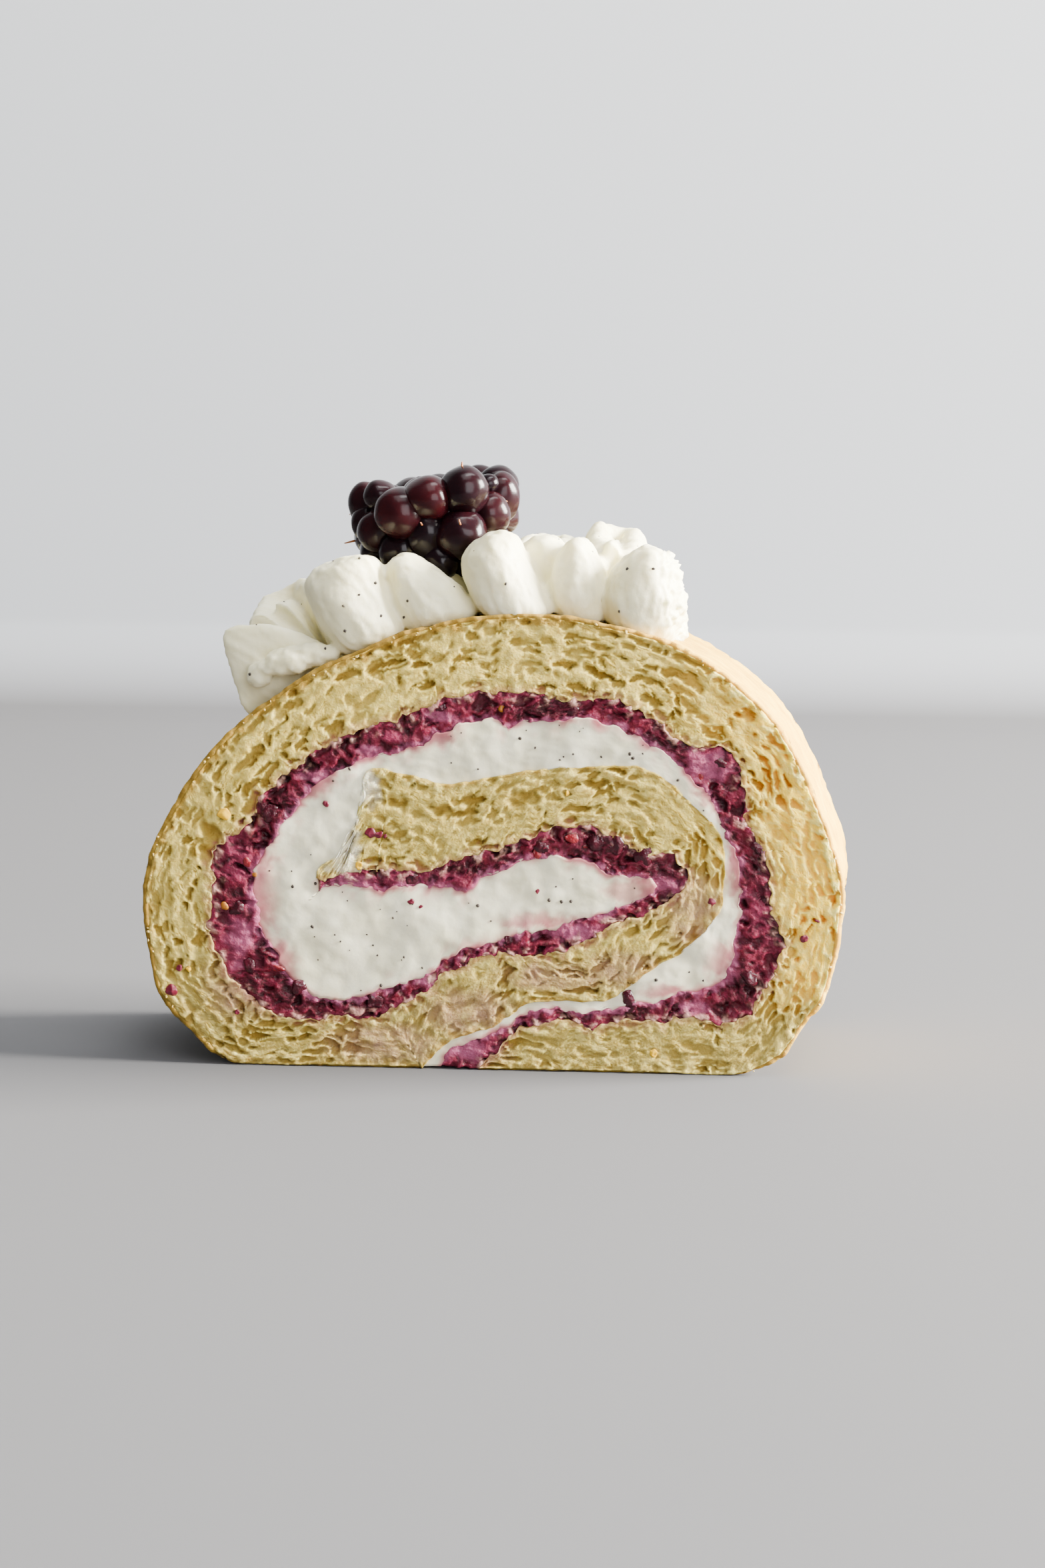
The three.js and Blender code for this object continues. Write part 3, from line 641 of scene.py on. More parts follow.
def jamRelief(x, z, run, share, width, behind):
    shift = 60 if behind else 30
    warp = drift(x, z, 0.6, shift)
    s, t = x + warp.x * 1.3, z + warp.y * 1.3
    pit, edge = openPore(s, t, jam["pit"], shift, 0.5)
    smallPit, smallEdge = openPore(s, t, jam["smallPit"], shift + 4, 0.5)
    pick = cellPattern(s, t, jam["patch"], shift + 8)[1]
    rag = 0.5 * waves(x, z, 0.6, 21)
    creamy = near(creamyPlaces, x, z, rag)
    toCream, toSponge = (1 - share) * width, share * width
    bleed = 1 - smoothStep(0.0, 1.0, toCream + waves(x, z, 1.1, 9))
    rough = 1 - 0.7 * creamy
    depth = 0.25 + rough * (jam["deep"] * pit + 0.4 * smallPit)
    depth += 0.45 * waves(x, z, 0.4, shift) + 0.22 * waves(x, z, 1.1, shift + 2) + 0.08 * waves(x, z, 2.6, shift)
    strand = smoothStep(0.1, 0.35, waves(x, z, 0.75, shift + 51))
    strand *= 1 - smoothStep(0.4, 1.7, toSponge + 0.4 * warp.x)
    depth -= 0.35 * strand
    rim = smoothStep(0.0, 0.07, share) * smoothStep(1.0, 0.93, share)
    darkPatch = max(near(darkPlaces, x, z, rag), smoothStep(0.1, 0.45, waves(x, z, 0.33, 77)))
    pitRimHighlight = 1 - smoothStep(0.0, 0.1, min(edge, smallEdge))
    rosy = 0.75 * near(rosyPlaces, x, z, rag) * (0.4 + 0.6 * pick)
    return mixed(0.4, depth, rim), {
        "tone": 0.25 + 0.5 * pick + 0.5 * waves(x, z, 0.8, 44),
        # dark: the pits painted dark as painted shade, and dark wet patches of the jam's own; pit rims less dark and
        # rosier as painted highlight
        "dark": (1 - 0.8 * creamy) * max(0.95 * pit, 0.6 * smallPit, 0.85 * darkPatch * (1 - 0.6 * pitRimHighlight)),
        "rosy": max(rosy, 0.35 * pitRimHighlight, 0.7 * (1 - smoothStep(0.2, 1.2, toSponge)) * pick),
        "creamy": max(creamy * 0.75 * (0.5 + 0.5 * pick), bleed * 0.7),
        "strand": 0.8 * strand * (1 - 0.6 * smallPit),
    }


bm = layerBetween(jamColumns, jam["rows"], jamRelief)
jamPiece = finishPiece(bm, "crushedJam", crushedJam(), ["berry_jam"])


# Cream in the roll

filling = {"step": 0.4, "rows": 36}
creamMatches = [
    (-6.9, .4, -8.9, .4), (1.2, 5.3, 1.5, 6.6), (8.8, 7.7, 7.4, 8.9), (17, 8.8, 14.5, 9.4), (22.1, 9.8, 18.2, 12.1),
    (27.3, 11.1, 22.4, 14.8), (29.7, 16, 25.9, 17.8), (30, 25.7, 28.3, 25), (28.4, 29.5, 28.1, 28),
    (25.5, 35.7, 23.6, 34.2), (20.6, 40.1, 17.6, 38.2), (14.1, 43.5, 11.8, 38.1), (0, 43.9, 0, 36.6),
    (-8.5, 40.9, -9.2, 36.4), (-17.5, 38.1, -15.8, 36.7), (-25, 32.2, -16.8, 31), (-29.6, 25, -21.8, 25),
    (-28.4, 16, -21.8, 22.3), (-24.6, 10.5, -18, 23.1), (-14.8, 9.5, -10.7, 22.8), (-7.2, 12.7, -5, 22.9),
    (-.4, 16, -1.7, 23.9), (8.8, 18.5, 10.9, 26.5), (14.7, 20.4, 14.7, 24.8), (20, 23.4, 19.2, 24.4),
]
creamInner = innerTurnSmooth + list(reversed(foldSmooth))
creamColumns = columnsBetween(jamEdgeSmooth, creamInner, creamMatches, filling["step"], (0, 0.12))
foldRun = next(run for a, b, run in creamColumns if (b - foldSmooth[-1]).length < 1.5)
pinkPlaces = [(-28.4, 22, 3.6, 6), (-27, 13.5, 3.5, 3.5), (20, 23.2, 5.5, 2.4), (27.4, 14.6, 3.5, 2.6),
              (26.5, 36, 2.5, 3.5), (-7, 41.6, 3.5, 2), (-22, 35.4, 3.5, 2), (29.6, 26, 1.5, 5), (20.5, 10.5, 4, 1.2),
              (5, 19, 6, 1.4), (-13, 23, 4, 1)]


def creamRelief(x, z, run, share, width, behind):
    shift = 80 if behind else 50
    depth = 0.3 + 0.45 * waves(x, z, 0.15, shift) + 0.06 * fractal(x * 0.45, z * 0.55, shift + 1)
    depth += 0.03 * waves(x, z, 1.3, shift + 2)
    fromJam = share * width
    if run > foldRun:
        fromJam = min(fromJam, (1 - share) * width)
    rag = waves(x, z, 0.9, 13)
    reach = max(0.35, 1.2 + 1.6 * waves(x, z, 0.2, 14) + 0.5 * rag)
    halo = mixed(0.25, 0.8, smoothStep(-0.2, 0.3, waves(x, z, 0.25, 19)))
    halo *= (1 - smoothStep(0.0, reach, fromJam)) ** 1.3
    halo = max(halo, 0.72 * near(pinkPlaces, x, z, 0.4 * rag) * (1 - smoothStep(0.0, 4.5, fromJam)))
    smear = 0.42 * (1 - smoothStep(0.5, 1.1, math.hypot((x - 17) / 4.2, (z - 22.8) / 1.9) + 0.3 * rag))
    haze = 0.22 * smoothStep(0.1, 0.6, waves(x, z, 0.35, 17)) * (1 - smoothStep(1.0, 3.0, fromJam))
    return depth, {"pink": max(halo, smear, haze)}


bm = layerBetween(creamColumns, filling["rows"], creamRelief)
creamPiece = finishPiece(bm, "spreadCream", spreadCream(), ["cream_filling"])


# Piped cream: lobes at the front as seen (z, left, right in mm), joined by the ribbon that runs to and fro

piping = {
    "pitch": 8.7,      # mm from one turn of the ribbon to the next
    "width": 5.2,      # mm, of the ribbon at half height
    "lean": 16.0,      # degrees to the left at x = 0
    "leanPerMm": 0.85,
    "arcSteps": 12,    # in each turn
    "runSteps": 9,     # between two turns
    "slitClosers": (-11, -8, -5, -2, 0.4),  # mm from the middle of a turn towards the other side
    "voxel": 0.3,      # mm
}
lobes = [
    # front place, depth either side of it, outline from the foot up
    (-9.6, 5.2, [(51.0, -18.8, -17.2), (51.5, -19.8, -15.6), (52.1, -20.4, -13.8), (53, -20.9, -12.1),
                 (54.1, -21.6, -11.2), (55.3, -22.3, -11.4), (57.1, -23.1, -12.4), (58.8, -23.6, -13.2),
                 (60.2, -23.6, -13.7), (61.8, -22.8, -14), (62.7, -20.9, -14.3), (63.3, -18.9, -14.9),
                 (63.7, -17.2, -15.9)]),
    (-8.6, 5.2, [(53.6, -10.6, -8.4), (54.1, -11.4, -6.4), (54.8, -12, -4.6), (55.6, -12.5, -3.1), (56.5, -12.9, -2.2),
                 (58.1, -13.5, -3.1), (59.7, -13.8, -4.5), (61.3, -13.9, -6.6), (62.5, -13.8, -8.2),
                 (63.2, -13.2, -9.4), (63.8, -12.1, -10.7)]),
    (-9.8, 5.2, [(55.6, 0.8, 4.8), (56.1, -1.5, 6.3), (56.7, -2.2, 6.9), (57.6, -2.8, 6.7), (58.9, -3.3, 6.1),
                  (60.4, -3.8, 5.4), (61.9, -4.2, 4.7), (63.5, -4.3, 3.8), (64.6, -3.6, 3.4), (65.6, -2.5, 2.9),
                  (66.3, -1.4, 2.2), (66.8, 0.1, 1.1)]),
    (-8.0, 5.0, [(55.0, 10, 12.2), (55.5, 8.4, 13.1), (56.2, 7, 13.5), (57.3, 6.3, 13.5), (59, 5.9, 13.5),
                 (60.5, 5.9, 13.4), (62.2, 6.4, 13), (63.5, 7.1, 12.3), (64.5, 7.8, 11.7), (65.4, 8.6, 11.1),
                 (65.9, 9.4, 10.5)]),
    (4.0, 5.0, [(54, 9, 17), (59, 8.4, 17.6), (62, 8.8, 17.2), (63.4, 9.4, 16.2), (64.4, 9.8, 14.8),
                (65.2, 10.4, 13.6), (65.8, 11.2, 12.6)]),
    (-4.8, 4.0, [(57, 4, 9), (60, 3.4, 9.4), (62.5, 2.6, 9.2), (64.2, 2.2, 8.6), (65.1, 2.5, 8), (65.8, 3.3, 7.2),
                 (66.2, 4.4, 6.2)]),
    (-9.6, 5.2, [(53.0, 17.4, 20.6), (53.6, 15.9, 21.5), (54.5, 14.5, 22), (55.5, 13.6, 22.4), (56.7, 13.1, 22.9),
                 (58.3, 12.8, 23.1), (60.2, 13.3, 22.6), (61.4, 13.8, 22.3), (62.4, 14.5, 22.1), (63.5, 15.5, 21.7),
                 (64.2, 16.4, 21.3), (64.8, 17.5, 19.9), (65.1, 18.1, 18.8)]),
]
startLeaf = (-9.2, 1.25, [
    (43.4, -31.2, -30), (44.9, -32.1, -28), (47.1, -32.9, -25), (49.5, -33.4, -22.5), (51.8, -34, -20.5),
    (52.7, -34.2, -21.5), (53.5, -34.3, -23.8), (54.2, -34.2, -26), (54.7, -32.8, -28), (54.9, -31, -29.4)])
# balls (x, y, z, radius) along the low ridge before the leaf; turns of the ribbon (x, y, height); half its section
leafRidge = [(-29.4, -11.2, 48.6, 1.5), (-28.3, -12, 49.5, 1.3), (-26.7, -12.2, 50.2, 1.6), (-25.2, -12.3, 50.5, 1.75),
             (-23.7, -12.3, 51, 1.6), (-22.3, -12.2, 51.3, 1.5), (-21, -12, 51.3, 1.2), (-19.9, -11.6, 51.2, 1)]
frontTurns = [(-16.2, -2.4, 8.8), (-7.6, -2.4, 7.4), (1.6, -2.6, 8.4), (10.0, -2.2, 8.0), (17.6, -2.6, 8.4)]
backTurns = [(-22.8, 9.4, 12.4), (-10.6, 9.6, 9.6), (-2.6, 9.4, 9.8), (6.3, 9.5, 10.2), (14.0, 9.2, 12.2)]
ribbonHalf = [(0.72, -0.25), (0.9, -0.05), (0.98, 0.12), (1.0, 0.3), (0.97, 0.48), (0.9, 0.64), (0.78, 0.78),
              (0.6, 0.89), (0.38, 0.96), (0.15, 1.0)]
domeSmooth = outerSmooth[nearestIndex(outerSmooth, (40.3, 9.7)):nearestIndex(outerSmooth, (-41.6, 8.9))]


def domeHeight(x):
    return min(domeSmooth, key=lambda p: abs(p.x - x)).y


def leanAt(x):
    return math.radians(piping["lean"] - piping["leanPerMm"] * x)


def addLobe(bm, y, deep, outline, boxy=1.0):
    # a rounded blob with the given outline from the front
    made = bmesh.ops.create_uvsphere(bm, u_segments=40, v_segments=36, radius=1)
    widest = max(right - left for z, left, right in outline) / 2
    low, high = outline[0][0], outline[-1][0]
    for v in made["verts"]:
        z = mixed(low, high, (v.co.z + 1) / 2)
        k = max(i for i in range(len(outline) - 1) if outline[i][0] <= z + 1e-6)
        share = (z - outline[k][0]) / (outline[k + 1][0] - outline[k][0])
        left, right = (mixed(outline[k][n], outline[k + 1][n], share) for n in (1, 2))
        ring = math.hypot(v.co.x, v.co.y)
        sideways, inward = (v.co.x / ring, v.co.y / ring) if ring > 1e-5 else (0, 0)
        sideways = math.copysign(abs(sideways) ** boxy, sideways)
        half = (right - left) / 2
        v.co = placeInRow((left + right) / 2 + sideways * half, y + inward * deep * (half / widest) ** 0.6, z)


def addRibbon(bm, stations):
    # one closed stretch of ribbon; a station is x, y, sideways (x, y), half width, height, lean
    section = ribbonHalf + [(-w, h) for w, h in reversed(ribbonHalf)]
    count, around = len(stations) - 1, len(section)
    made = bmesh.ops.create_grid(bm, x_segments=count, y_segments=around, size=1)
    for v in made["verts"]:
        i, j = gridPlace(v, count, around)
        x, y, side, half, height, lean = stations[i]
        w, h = section[j % around]
        upX, upZ = -math.sin(lean), math.cos(lean)
        v.co = placeInRow(x + w * half * side[0] * upZ + upX * h * height, y + w * half * side[1],
                          domeHeight(x) - w * half * side[0] * upX + upZ * h * height)
    bmesh.ops.remove_doubles(bm, verts=made["verts"], dist=1e-6)
    bmesh.ops.holes_fill(bm, edges=[e for e in bm.edges if e.is_boundary], sides=0)


def ribbonPath():
    # the whole zigzag from the left, in the order in which it was laid
    radius = piping["pitch"] / 4
    order = []
    for front, back in zip([None] + frontTurns, backTurns + [None]):
        order += [(turn, way) for turn, way in ((front, -1), (back, 1)) if turn]
    stations = []
    for (cx, cy, height), way in order:
        for k in range(piping["arcSteps"] + 1):
            angle = math.pi - math.pi * k / piping["arcSteps"]
            side = (-way * math.cos(angle), -math.sin(angle))
            stations.append((cx + radius * math.cos(angle), cy + way * radius * math.sin(angle), side,
                             piping["width"] / 2, height, leanAt(cx)))
    full = []
    for a, b in zip(stations, stations[1:]):
        full.append(a)
        if math.hypot(b[0] - a[0], b[1] - a[1]) > 3:
            for k in range(1, piping["runSteps"]):
                x, y, height, lean = (mixed(a[n], b[n], k / piping["runSteps"]) for n in (0, 1, 4, 5))
                full.append((x, y, a[2], a[3], height, lean))
    first, last = stations[0], stations[-1]
    full = [(first[0] - 0.4, -3.0, *first[2:4], first[4] * 0.85, first[5])] + full + [last]
    return full + [(last[0] + 0.6, 0.0, *last[2:4], last[4] * 0.9, last[5])]


def pipedRaw():
    bm = bmesh.new()
    addRibbon(bm, ribbonPath())
    for cx, cy, height in frontTurns + backTurns:  # closes the slits inside the turns
        way = -1 if cy < 0 else 1
        addRibbon(bm, [(cx, cy + way * s, (1.0, 0.0), 1.6, height * 0.84, leanAt(cx))
                       for s in piping["slitClosers"]])
    bmesh.ops.recalc_face_normals(bm, faces=bm.faces[:])
    for y, deep, outline in lobes:
        addLobe(bm, y, deep, outline)
    addLobe(bm, *startLeaf, boxy=0.6)
    for (x0, y0, z0, r0), (x1, y1, z1, r1) in zip(leafRidge, leafRidge[1:]):
        for s in (0.0, 0.5):
            place = Matrix.Translation(placeInRow(mixed(x0, x1, s), mixed(y0, y1, s), mixed(z0, z1, s)))
            bmesh.ops.create_icosphere(bm, subdivisions=3, radius=mixed(r0, r1, s) * mm, matrix=place)
    return bm


def remeshed(bm, voxel):
    mesh = meshOf(bm, "raw")
    holder = addObject("raw", mesh)
    modifier = holder.modifiers.new("voxels", "REMESH")
    modifier.mode = "VOXEL"
    modifier.voxel_size = voxel * mm
    result = bpy.data.meshes.new_from_object(holder.evaluated_get(bpy.context.evaluated_depsgraph_get()))
    bpy.data.objects.remove(holder)
    bpy.data.meshes.remove(mesh)
    made = bmesh.new()
    made.from_mesh(result)
    bpy.data.meshes.remove(result)
    return made


def shapeCream(bm):
    # soft folds down the lobes, a torn right end, and a foot that lies on the dome
    for _ in range(2):
        bmesh.ops.smooth_vert(bm, verts=bm.verts[:], factor=0.5, use_axis_x=True, use_axis_y=True, use_axis_z=True)
    bm.normal_update()
    for v in bm.verts:
        p = v.co / mm
        lean = leanAt(p.x)
        u = p.x * math.cos(lean) + (p.z - 50) * math.sin(lean)
        fold = 0.34 * fractal(u * 0.32, p.y * 0.32, p.z * 0.1) + 0.16 * fractal(u * 0.9, p.y * 0.9, p.z * 0.3)
        fold += 0.05 * solidWaves(p, 1.6)
        torn = smoothStep(19.8, 22.6, p.x + 0.12 * (p.z - 58)) * (0.7 * solidWaves(p, 0.75) + 0.3 * solidWaves(p, 1.8))
        low = smoothStep(-19, -21, p.x) * smoothStep(-10.3, -11.4, p.y) * smoothStep(53.5, 52.5, p.z)
        low *= 0.25 * solidWaves(p, 0.9)
        v.co += v.normal * (fold + torn + low) * mm
    for v in bm.verts:
        p = v.co / mm
        fall = 1 - backFall * (p.y + sliceDepth / 2) / sliceDepth
        v.co.z = max(p.z, domeHeight(p.x - shiftX) * fall + 0.03) * mm


bm = remeshed(pipedRaw(), piping["voxel"])
shapeCream(bm)
pipedPiece = finishPiece(bm, "pipedCream", pipedWhippedCream(), ["piped_cream"])


# Berry: drupelets as seen from the front, then rings of them round the back and below

berry = {
    "centre": (-9.0, 1.5, 65.4),
    "rise": 0.14,       # how much the fruit's rim rises to the right
    "core": (7.9, 6.0, 63.4),   # radius, half height, height of its middle
    "hairs": 13,
    "inward": 0.94,     # drupelets are nearer the middle than listed
    "swell": 1.1,       # and larger, so that they press on each other
}
seenDrupelets = [
    # x, y, z, radius, taller, redness
    (-12.7, -5.2, 68.0, 3.0, 1.0, 0.8), (-9.1, -5.3, 69.9, 2.85, 0.9, 0.95), (-10.6, -4.2, 70.7, 1.7, 0.9, 0.9),
    (-4.5, -4.6, 70.9, 2.85, 1.0, 0.25), (-15.8, -1.8, 69.9, 1.9, 1.0, 0.35), (-18.0, 1.5, 68.5, 2.1, 1.25, 0.6),
    (-17.6, 0.3, 66.2, 2.0, 1.1, 0.45), (-16.0, -2.2, 65.4, 2.4, 1.1, 0.5), (-9.3, -4.9, 65.2, 2.4, 1.3, 0.05),
    (-4.8, -5.1, 65.3, 3.0, 1.0, 0.3), (-1.3, -2.6, 67.8, 2.3, 1.1, 0.55), (-6.8, -3.4, 67.9, 2.2, 1.0, 0.1),
    (-0.2, 0.4, 69.6, 2.2, 1.35, 0.5), (-0.9, 3.4, 71.0, 2.3, 1.0, 0.1),
    (-13.0, -3.6, 63.0, 2.5, 1.0, 0.1), (-16.3, -0.8, 62.8, 2.1, 1.1, 0.05), (-1.6, -1.6, 71.6, 1.2, 1.0, 0.05),
    (-7.6, -5.2, 61.8, 2.2, 1.0, 0.05), (-10.3, -3.6, 72.0, 0.8, 0.8, 0.9), (-1.6, -1.0, 64.2, 2.3, 1.0, 0.1),
]
backRings = [
    # drupelets' angles from the front over the right in degrees, ring radius, z, drupelet radius
    ((132, 158, 184, 212, 240, 262), 7.4, 68.9, 2.65), ((100, 127, 154, 181, 208, 235, 260), 8.2, 65.8, 2.6),
    ((75, 108, 141, 174, 207, 240, 272), 6.9, 62.0, 2.5), ((20, 80, 140, 200, 260, 320), 4.2, 59.4, 2.3),
]
# centre, radius and way out of the drupelets that have a hair; the rings add theirs
hairPlaces = [((-4.5, -4.6, 71.0), 2.75, (-0.15, -0.1, 1)), ((-4.8, -5.1, 65.2), 2.85, (0, -0.85, 0.5)),
              ((-9.3, -4.9, 65.0), 2.2, (-0.1, -0.8, 0.6)), ((-0.2, 0.4, 69.6), 2.2, (0.2, -0.9, -0.2))]


def addDrupelet(bm, centre, radius, taller, redness, tone):
    middle = Vector(berry["centre"])
    centre = middle + (centre - middle) * berry["inward"]
    radius *= berry["swell"]
    outward = (centre - middle).normalized()
    place = Vector(((centre.x + shiftX) * mm, centre.y * mm, centre.z * mm))
    made = bmesh.ops.create_icosphere(bm, subdivisions=4, radius=radius * mm, matrix=Matrix.Translation(place))
    seed = noise.noise_vector(centre * 3.3)
    for v in made["verts"]:
        local = (v.co - place) / (radius * mm)
        bulge = 1 + 0.07 * noise.noise(local * 1.3 + seed * 5)
        local.z *= taller
        along = max(0.0, local.dot(outward))
        v.co = place + local * bulge * (1 + 0.07 * along * along) * radius * mm
        v[tone] = redness


def addEllipsoid(bm, centre, wide, high, around, up):
    x, y, z = centre
    bmesh.ops.create_uvsphere(bm, u_segments=around, v_segments=up, radius=1, matrix=Matrix.Translation(
        Vector((x + shiftX, y, z)) * mm) @ Matrix.Diagonal((wide * mm, wide * mm, high * mm, 1)))


def darkBerry():
    rnd = random.Random(20)
    bm = bmesh.new()
    tone = bm.verts.layers.float.new("tone")
    radius, high, middle = berry["core"]
    cx, cy = berry["centre"][:2]
    addEllipsoid(bm, (cx, cy, middle), radius, high, 40, 24)
    for x, y, z, size, taller, redness in seenDrupelets:
        addDrupelet(bm, Vector((x, y, z)), size, taller, redness, tone)
    for angles, ring, z, size in backRings:
        for degrees in angles:
            angle = math.radians(degrees + rnd.uniform(-4, 4))
            x = ring * math.sin(angle)
            centre = Vector((cx + x, cy - ring * math.cos(angle), z + berry["rise"] * x + rnd.uniform(-0.5, 0.5)))
            addDrupelet(bm, centre, size * rnd.uniform(0.9, 1.06), rnd.uniform(0.95, 1.15), rnd.random() ** 1.5, tone)
            if rnd.random() < 0.45:
                outward = Vector((math.sin(angle), -math.cos(angle), rnd.uniform(-0.3, 0.6)))
                hairPlaces.append((tuple(centre), size, tuple(outward)))
    return bm


finishPiece(darkBerry(), "darkBerry", drupeletSkin(), ["dark_berry"])


def berryHairs():
    # dried styles that stay on some drupelets
    rnd = random.Random(8)
    bm = bmesh.new()
    for centre, radius, way in hairPlaces[:berry["hairs"]]:
        outward = Vector(way).normalized()
        root = Vector(centre) + Vector((shiftX, 0, 0)) + outward * radius * 0.98
        length = rnd.uniform(0.9, 1.5)
        sway = noise.noise_vector(root) * 0.9
        made = bmesh.ops.create_cone(
            bm, cap_ends=True, segments=8, radius1=0.16 * mm, radius2=0.07 * mm, depth=length * mm)
        sides = {e for v in made["verts"] for e in v.link_edges if e.calc_length() > 0.5 * mm}
        bmesh.ops.subdivide_edges(bm, edges=list(sides), cuts=4)
        turned = outward.to_track_quat("Z", "Y").to_matrix().to_4x4()
        loose = [v for v in bm.verts if not v.tag]
        for v in loose:
            v.tag = True
            far = v.co.z / mm / length + 0.5
            v.co = (Matrix.Translation((root + outward * length * 0.35) * mm) @ turned) @ v.co + sway * far * far * mm
    return bm


finishPiece(berryHairs(), "berryHairs", smallThing("driedStyle", "#8a4424", "#c07a44", 0.6), None)


def receptacle():
    # pale middle of the fruit in the hollow on top
    bm = bmesh.new()
    cx, cy = berry["centre"][:2]
    addEllipsoid(bm, (cx, cy + 0.6, 68.9), 2.3, 1.6, 24, 14)
    for v in bm.verts:
        v.co += noise.noise_vector(v.co / mm * 1.1) * 0.3 * mm
    return bm


finishPiece(receptacle(), "berryReceptacle", smallThing("berryFlesh", "#b9a684", "#d8cba6", 0.55), None)


# Small things: fruit in the jam, vanilla specks, pips, zest, stray jam and crumbs

facePlane = 14.85  # mm from the middle of the slice, where loose bits touch the cut crumb
vanilla = {"inRoll": 110, "overPiping": 70, "seenInRoll": 0.27, "seenOnPiping": 0.24}  # counts, and radii in mm


def scatter(name, spots, material, roundness=1, flat=0.6, lying=False):
    # irregular grains; a spot is its place in row metres and its radius in mm
    rnd = random.Random(len(spots))
    bm = bmesh.new()
    for place, radius in spots:
        turn = Euler([0 if lying and axis != 1 else rnd.uniform(0, 3) for axis in range(3)]).to_matrix().to_4x4()
        shape = Matrix.Diagonal((1, flat + (0.1 if lying else 0.4) * rnd.random(), 0.6 + 0.5 * rnd.random(), 1))
        made = bmesh.ops.create_icosphere(bm, subdivisions=roundness, radius=radius * mm,
                                          matrix=Matrix.Translation(place) @ turn @ shape)
        for v in made["verts"]:
            v.co += noise.noise_vector(v.co / mm * 1.2 / radius) * radius * 0.32 * mm
    return finishPiece(bm, name, material, None)


def treeOf(piece):
    return BVHTree.FromObject(piece, bpy.context.evaluated_depsgraph_get())


def onFace(tree, x, z, behind=False):
    # where a line along Y through section x, z meets the piece
    y, way = (0.05, -1) if behind else (-0.05, 1)
    fall = 1 - backFall if behind else 1
    hit = tree.ray_cast(Vector(((x + shiftX) * mm, y, z * fall * mm)), Vector((0, way, 0)))[0]
    return hit or placeInRow(x, -way * 14.7, z)


def insideOutline(x, z, outline):
    crossings = 0
    for a, b in zip(outline, outline[1:] + outline[:1]):
        if (a.y > z) != (b.y > z) and x < a.x + (b.x - a.x) * (z - a.y) / (b.y - a.y):
            crossings += 1
    return crossings % 2 == 1


rnd = random.Random(3)
creamTree, jamTree, pipedTree = treeOf(creamPiece), treeOf(jamPiece), treeOf(pipedPiece)
seenSpecks = [(-24.9, 22.6), (-22.1, 23.0), (-22.5, 17.6), (-14, 10.4), (-2.5, 14.9), (-2, 20.6),
              (6.8, 21.5), (8.3, 21.3), (9.5, 21.4), (16.6, 39.7), (17, 39.2), (3.2, 41.4), (22.5, 36.6),
              (20, 11.8), (-17.7, 37.4), (-13, 23.7)]
specks = [(onFace(creamTree, x, z), vanilla["seenInRoll"]) for x, z in seenSpecks]
creamOutline = jamEdgeSmooth + foldSmooth + list(reversed(innerTurnSmooth))
while len(specks) < vanilla["inRoll"]:
    x, z = rnd.uniform(-30, 30), rnd.uniform(5, 44)
    if insideOutline(x, z, creamOutline):
        specks.append((onFace(creamTree, x, z, rnd.random() < 0.5), rnd.uniform(0.1, 0.2)))
speckMaterial = smallThing("vanillaSeed", "#161210", "#3a2c20", 0.6)
scatter("vanillaSpecks", specks, speckMaterial)

pipedSpecks = [(-16.5, 58.7), (-18.3, 57.4), (-18.2, 54.3), (-14.7, 60), (-13.9, 56.1), (-10.7, 57.9),
               (-11.3, 55.8), (16.1, 62.1), (19.3, 62.2), (-20.9, 51.9), (-30.3, 48.6), (-16.6, 63), (1.5, 60.3),
               (15.2, 57)]
specks = [(onFace(pipedTree, x, z), vanilla["seenOnPiping"]) for x, z in pipedSpecks]
for _ in range(vanilla["overPiping"]):
    start = Vector((rnd.uniform(-30, 22), rnd.uniform(-14, 13), 80)) * mm
    hit = pipedTree.ray_cast(start, Vector((0, rnd.uniform(-0.4, 0.4), -1)))[0]
    if hit and hit.z > 0.052:
        specks.append((hit, rnd.uniform(0.09, 0.17)))
scatter("pipedSpecks", specks, speckMaterial)

fruit = [(16.6, 8.9, 1.5), (15.2, 28.4, 1.3), (18.4, 27.1, 1.2), (12.6, 28.6, 1.1),
         (31.4, 12.3, 1.3), (33.2, 22, 0.9), (-31.9, 19.6, 1.1), (-27.6, 31.6, 1.1), (-24.3, 10, 1.1),
         (-14.8, 8.4, 1.0), (27.6, 38.7, 0.8), (-18.4, 39.9, 0.9), (5.8, 28, 1.0), (-10.2, 23.9, 0.8),
         (32.2, 28.4, 0.9), (22.4, 8.5, 0.9), (-6.4, 45, 0.8), (9.6, 45, 0.9), (-30.4, 12.6, 1.0),
         (1.8, 16.4, 0.7)]
spots = [(onFace(jamTree, x, z) + Vector((0, 0.15 * r * mm, 0)), r) for x, z, r in fruit]
spots += [(onFace(jamTree, x, z, True) - Vector((0, 0.15 * r * mm, 0)), r) for x, z, r in fruit[1::2]]
scatter("jamFruit", spots, plainMaterial(  # glossy dark skins among the grains
    "berrySkinInJam", {"Roughness": 0.2, "Specular IOR Level": 0.5, "IOR": 1.42}, "#160309",
    [((0.9, 3.0), "#4c0a1c")], ((0.5, 3.0), 0.6, 0.3)), 3, 0.35, True)

red = [(5.4, 27.3, 0.7), (9.6, 29.2, 0.8), (-26.8, 12.3, 0.9), (-30.5, 25.6, 0.7), (25.2, 37.2, 0.6), (-23, 33.6, 0.6),
       (11.4, 28, 0.6)]
scatter("redFruit", [(onFace(jamTree, x, z), r) for x, z, r in red], plainMaterial(
    "redFruitFlesh", {"Roughness": 0.25, "Specular IOR Level": 0.5}, "#5c0c12",
    [((0.7, 3.0), "#96202a")], ((0.4, 3.0), 0.6, 0.25)), 3, 0.2, True)

